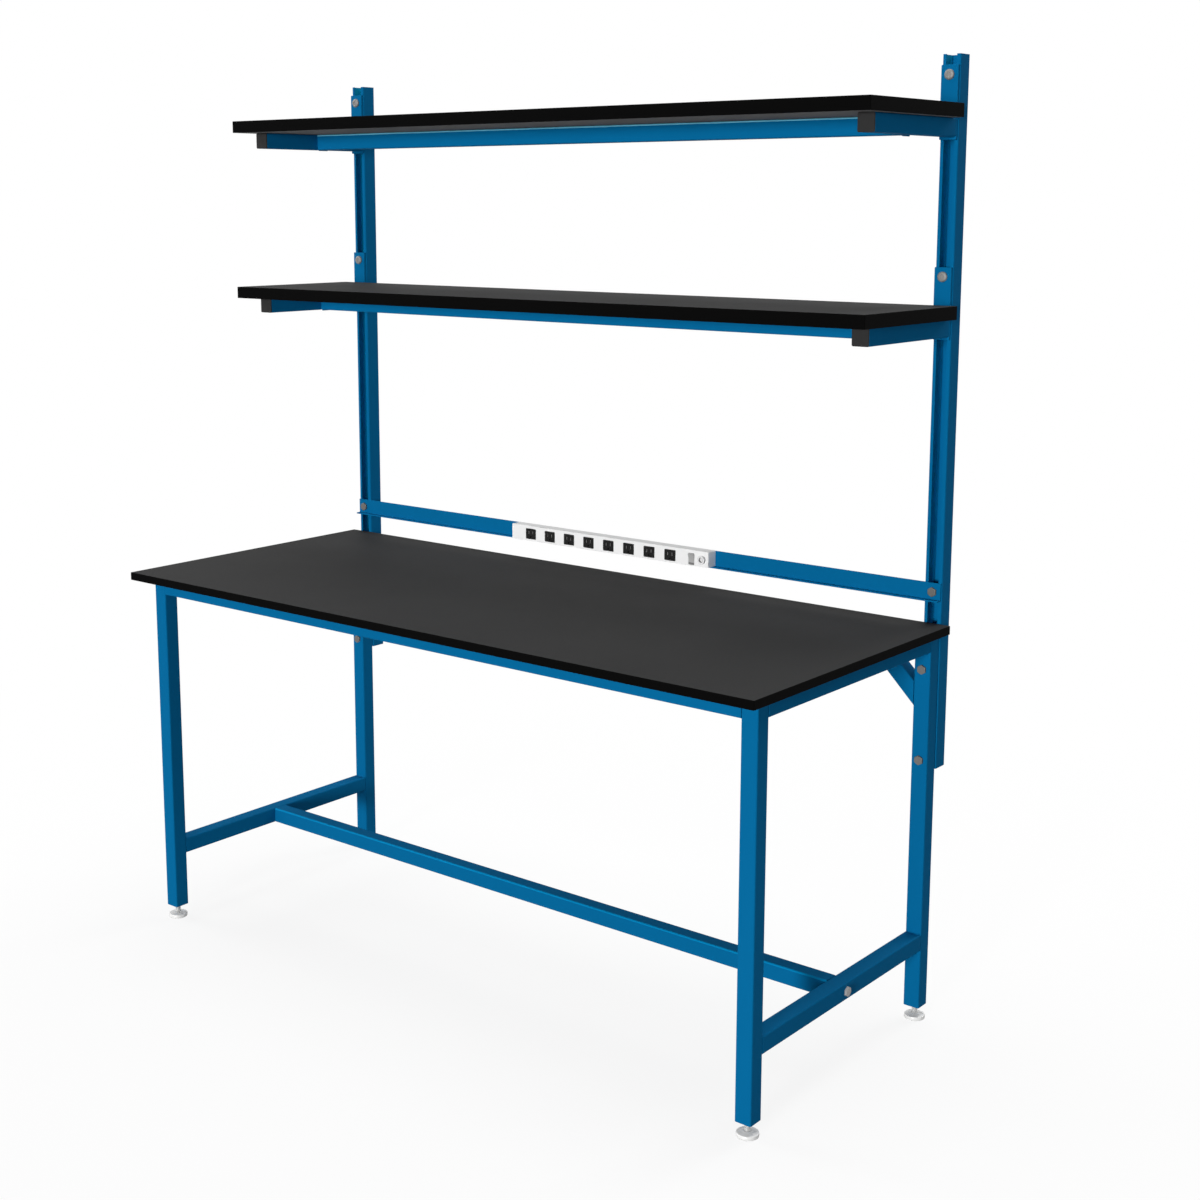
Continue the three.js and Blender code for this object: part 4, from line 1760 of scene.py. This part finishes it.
@dataclass(frozen=True)
class PaleFloor(Finish):
    """A pale floor, white to the eye but with the bench's soft shadow."""

    colour: Colour = grey(0.95)
    bounce: Colour = grey(0.3)
    shadow_share: float = 0.13
    shadow_reach: tuple[float, float] = (1.2, 3.2)

    def dress(self, graph: Graph) -> None:
        """Fills the tree with white that gives way to a shaded floor near the bench.

        Args:
            graph: The material's tree.
        """
        bounce = graph.wire("ShaderNodeBsdfDiffuse", None, {"Color": self.bounce})
        pale = graph.wire("ShaderNodeBsdfDiffuse", None, {"Color": self.colour})
        white = graph.wire("ShaderNodeEmission", None, {"Color": grey(1.0), "Strength": 1.0})
        length = {"operation": "LENGTH"}
        away = graph.wire("ShaderNodeVectorMath", length, {0: graph.place()}, "Value")
        near, far = self.shadow_reach
        bounds = {"Value": away, "From Min": near, "From Max": far}
        bounds |= {"To Min": self.shadow_share, "To Max": 0.0}
        shadow = graph.wire("ShaderNodeMapRange", {"interpolation_type": "SMOOTHSTEP"}, bounds)
        shown = graph.wire("ShaderNodeMixShader", None, {0: shadow, 1: white, 2: pale})
        graph.output(graph.wire("ShaderNodeMixShader", None, {0: graph.seen(), 1: bounce, 2: shown}))


@dataclass
class Studio:
    """The pale floor, the soft lights, the white surroundings and the camera."""

    floor_radius: float = 30.0
    floor_sides: int = 64
    floor_drop: float = 0.5 * MM
    floor_finish: Finish = PaleFloor("studio_floor")
    ambient: float = 0.12
    softboxes: tuple[Softbox, ...] = (
        Softbox("front_softbox", 11.0, 4.0, 0.82, 4.0),
        Softbox("top_softbox", 180.0, 80.0, 0.62, 14.0),
        Softbox("left_softbox", 280.0, 30.0, 0.3, 9.0),
        Softbox("back_softbox", 165.0, 35.0, 0.3, 9.0),
    )
    image: float = 1200.0
    focal: float = 1799.93
    centre: tuple[float, float] = (565.72, 506.45)
    sensor: float = 36.0
    camera_place: Triple = (2.66292, -3.08192, 1.80174)
    camera_turn: float = 0.6859008
    camera_tilt: float = -0.1679116
    camera_reach: float = 200.0

    def build(self) -> None:
        """Builds the whole studio."""
        bpy.context.scene.view_settings.view_transform = "Standard"
        self.camera()
        self.floor()
        self.surroundings()
        for softbox in self.softboxes:
            softbox.build()

    def camera(self) -> None:
        """Sets the camera where the photograph was taken from."""
        data = bpy.data.cameras.new("bench_camera")
        data.sensor_width = self.sensor
        data.lens = self.focal / self.image * self.sensor
        data.shift_x = MIDDLE - self.centre[0] / self.image
        data.shift_y = self.centre[1] / self.image - MIDDLE
        data.clip_end = self.camera_reach
        made = bpy.data.objects.new("bench_camera", data)
        made.location = self.camera_place
        made.rotation_euler = (math.pi / 2 + self.camera_tilt, 0, self.camera_turn)
        bpy.context.scene.collection.objects.link(made)
        bpy.context.scene.camera = made

    def floor(self) -> None:
        """Builds the round floor."""
        mesh = bmesh.new()
        sizes = {"segments": self.floor_sides, "radius": self.floor_radius}
        bmesh.ops.create_circle(mesh, cap_ends=True, **sizes)
        data = bpy.data.meshes.new("studio_floor")
        mesh.to_mesh(data)
        mesh.free()
        data.materials.append(self.floor_finish.material())
        made = bpy.data.objects.new("studio_floor", data)
        made.location.z = -self.floor_drop
        bpy.context.scene.collection.objects.link(made)

    def surroundings(self) -> None:
        """Sets the world: white to the eye and a plain soft light on the bench."""
        world = bpy.data.worlds.new("white_surroundings")
        bpy.context.scene.world = world
        world.use_nodes = True
        graph = Graph(world.node_tree)
        soft = graph.wire("ShaderNodeBackground", None, {"Color": grey(1.0), "Strength": self.ambient})
        white = graph.wire("ShaderNodeBackground", None, {"Color": grey(1.0), "Strength": 1.0})
        shown = graph.wire("ShaderNodeMixShader", None, {0: graph.seen(), 1: soft, 2: white})
        graph.output(shown, "ShaderNodeOutputWorld")


def main() -> None:
    """Builds the studio and then the bench, from the frame up."""
    logging.basicConfig(level=logging.INFO, format="%(name)s: %(message)s")
    Studio().build()
    TubeFrame().build()
    for end in ENDS:
        for side in SIDES:
            LevellingFoot(f"{end}_{side}").build()
    for side in SIDES:
        Upright(side).build()
    FrameBolts().build()
    Board("worktop", "worktop_resin").build()
    for tier in ("upper", "lower"):
        Shelf(tier).build()
    PowerRail().build()
    PowerStrip().build()


if __name__ == "__main__":
    main()
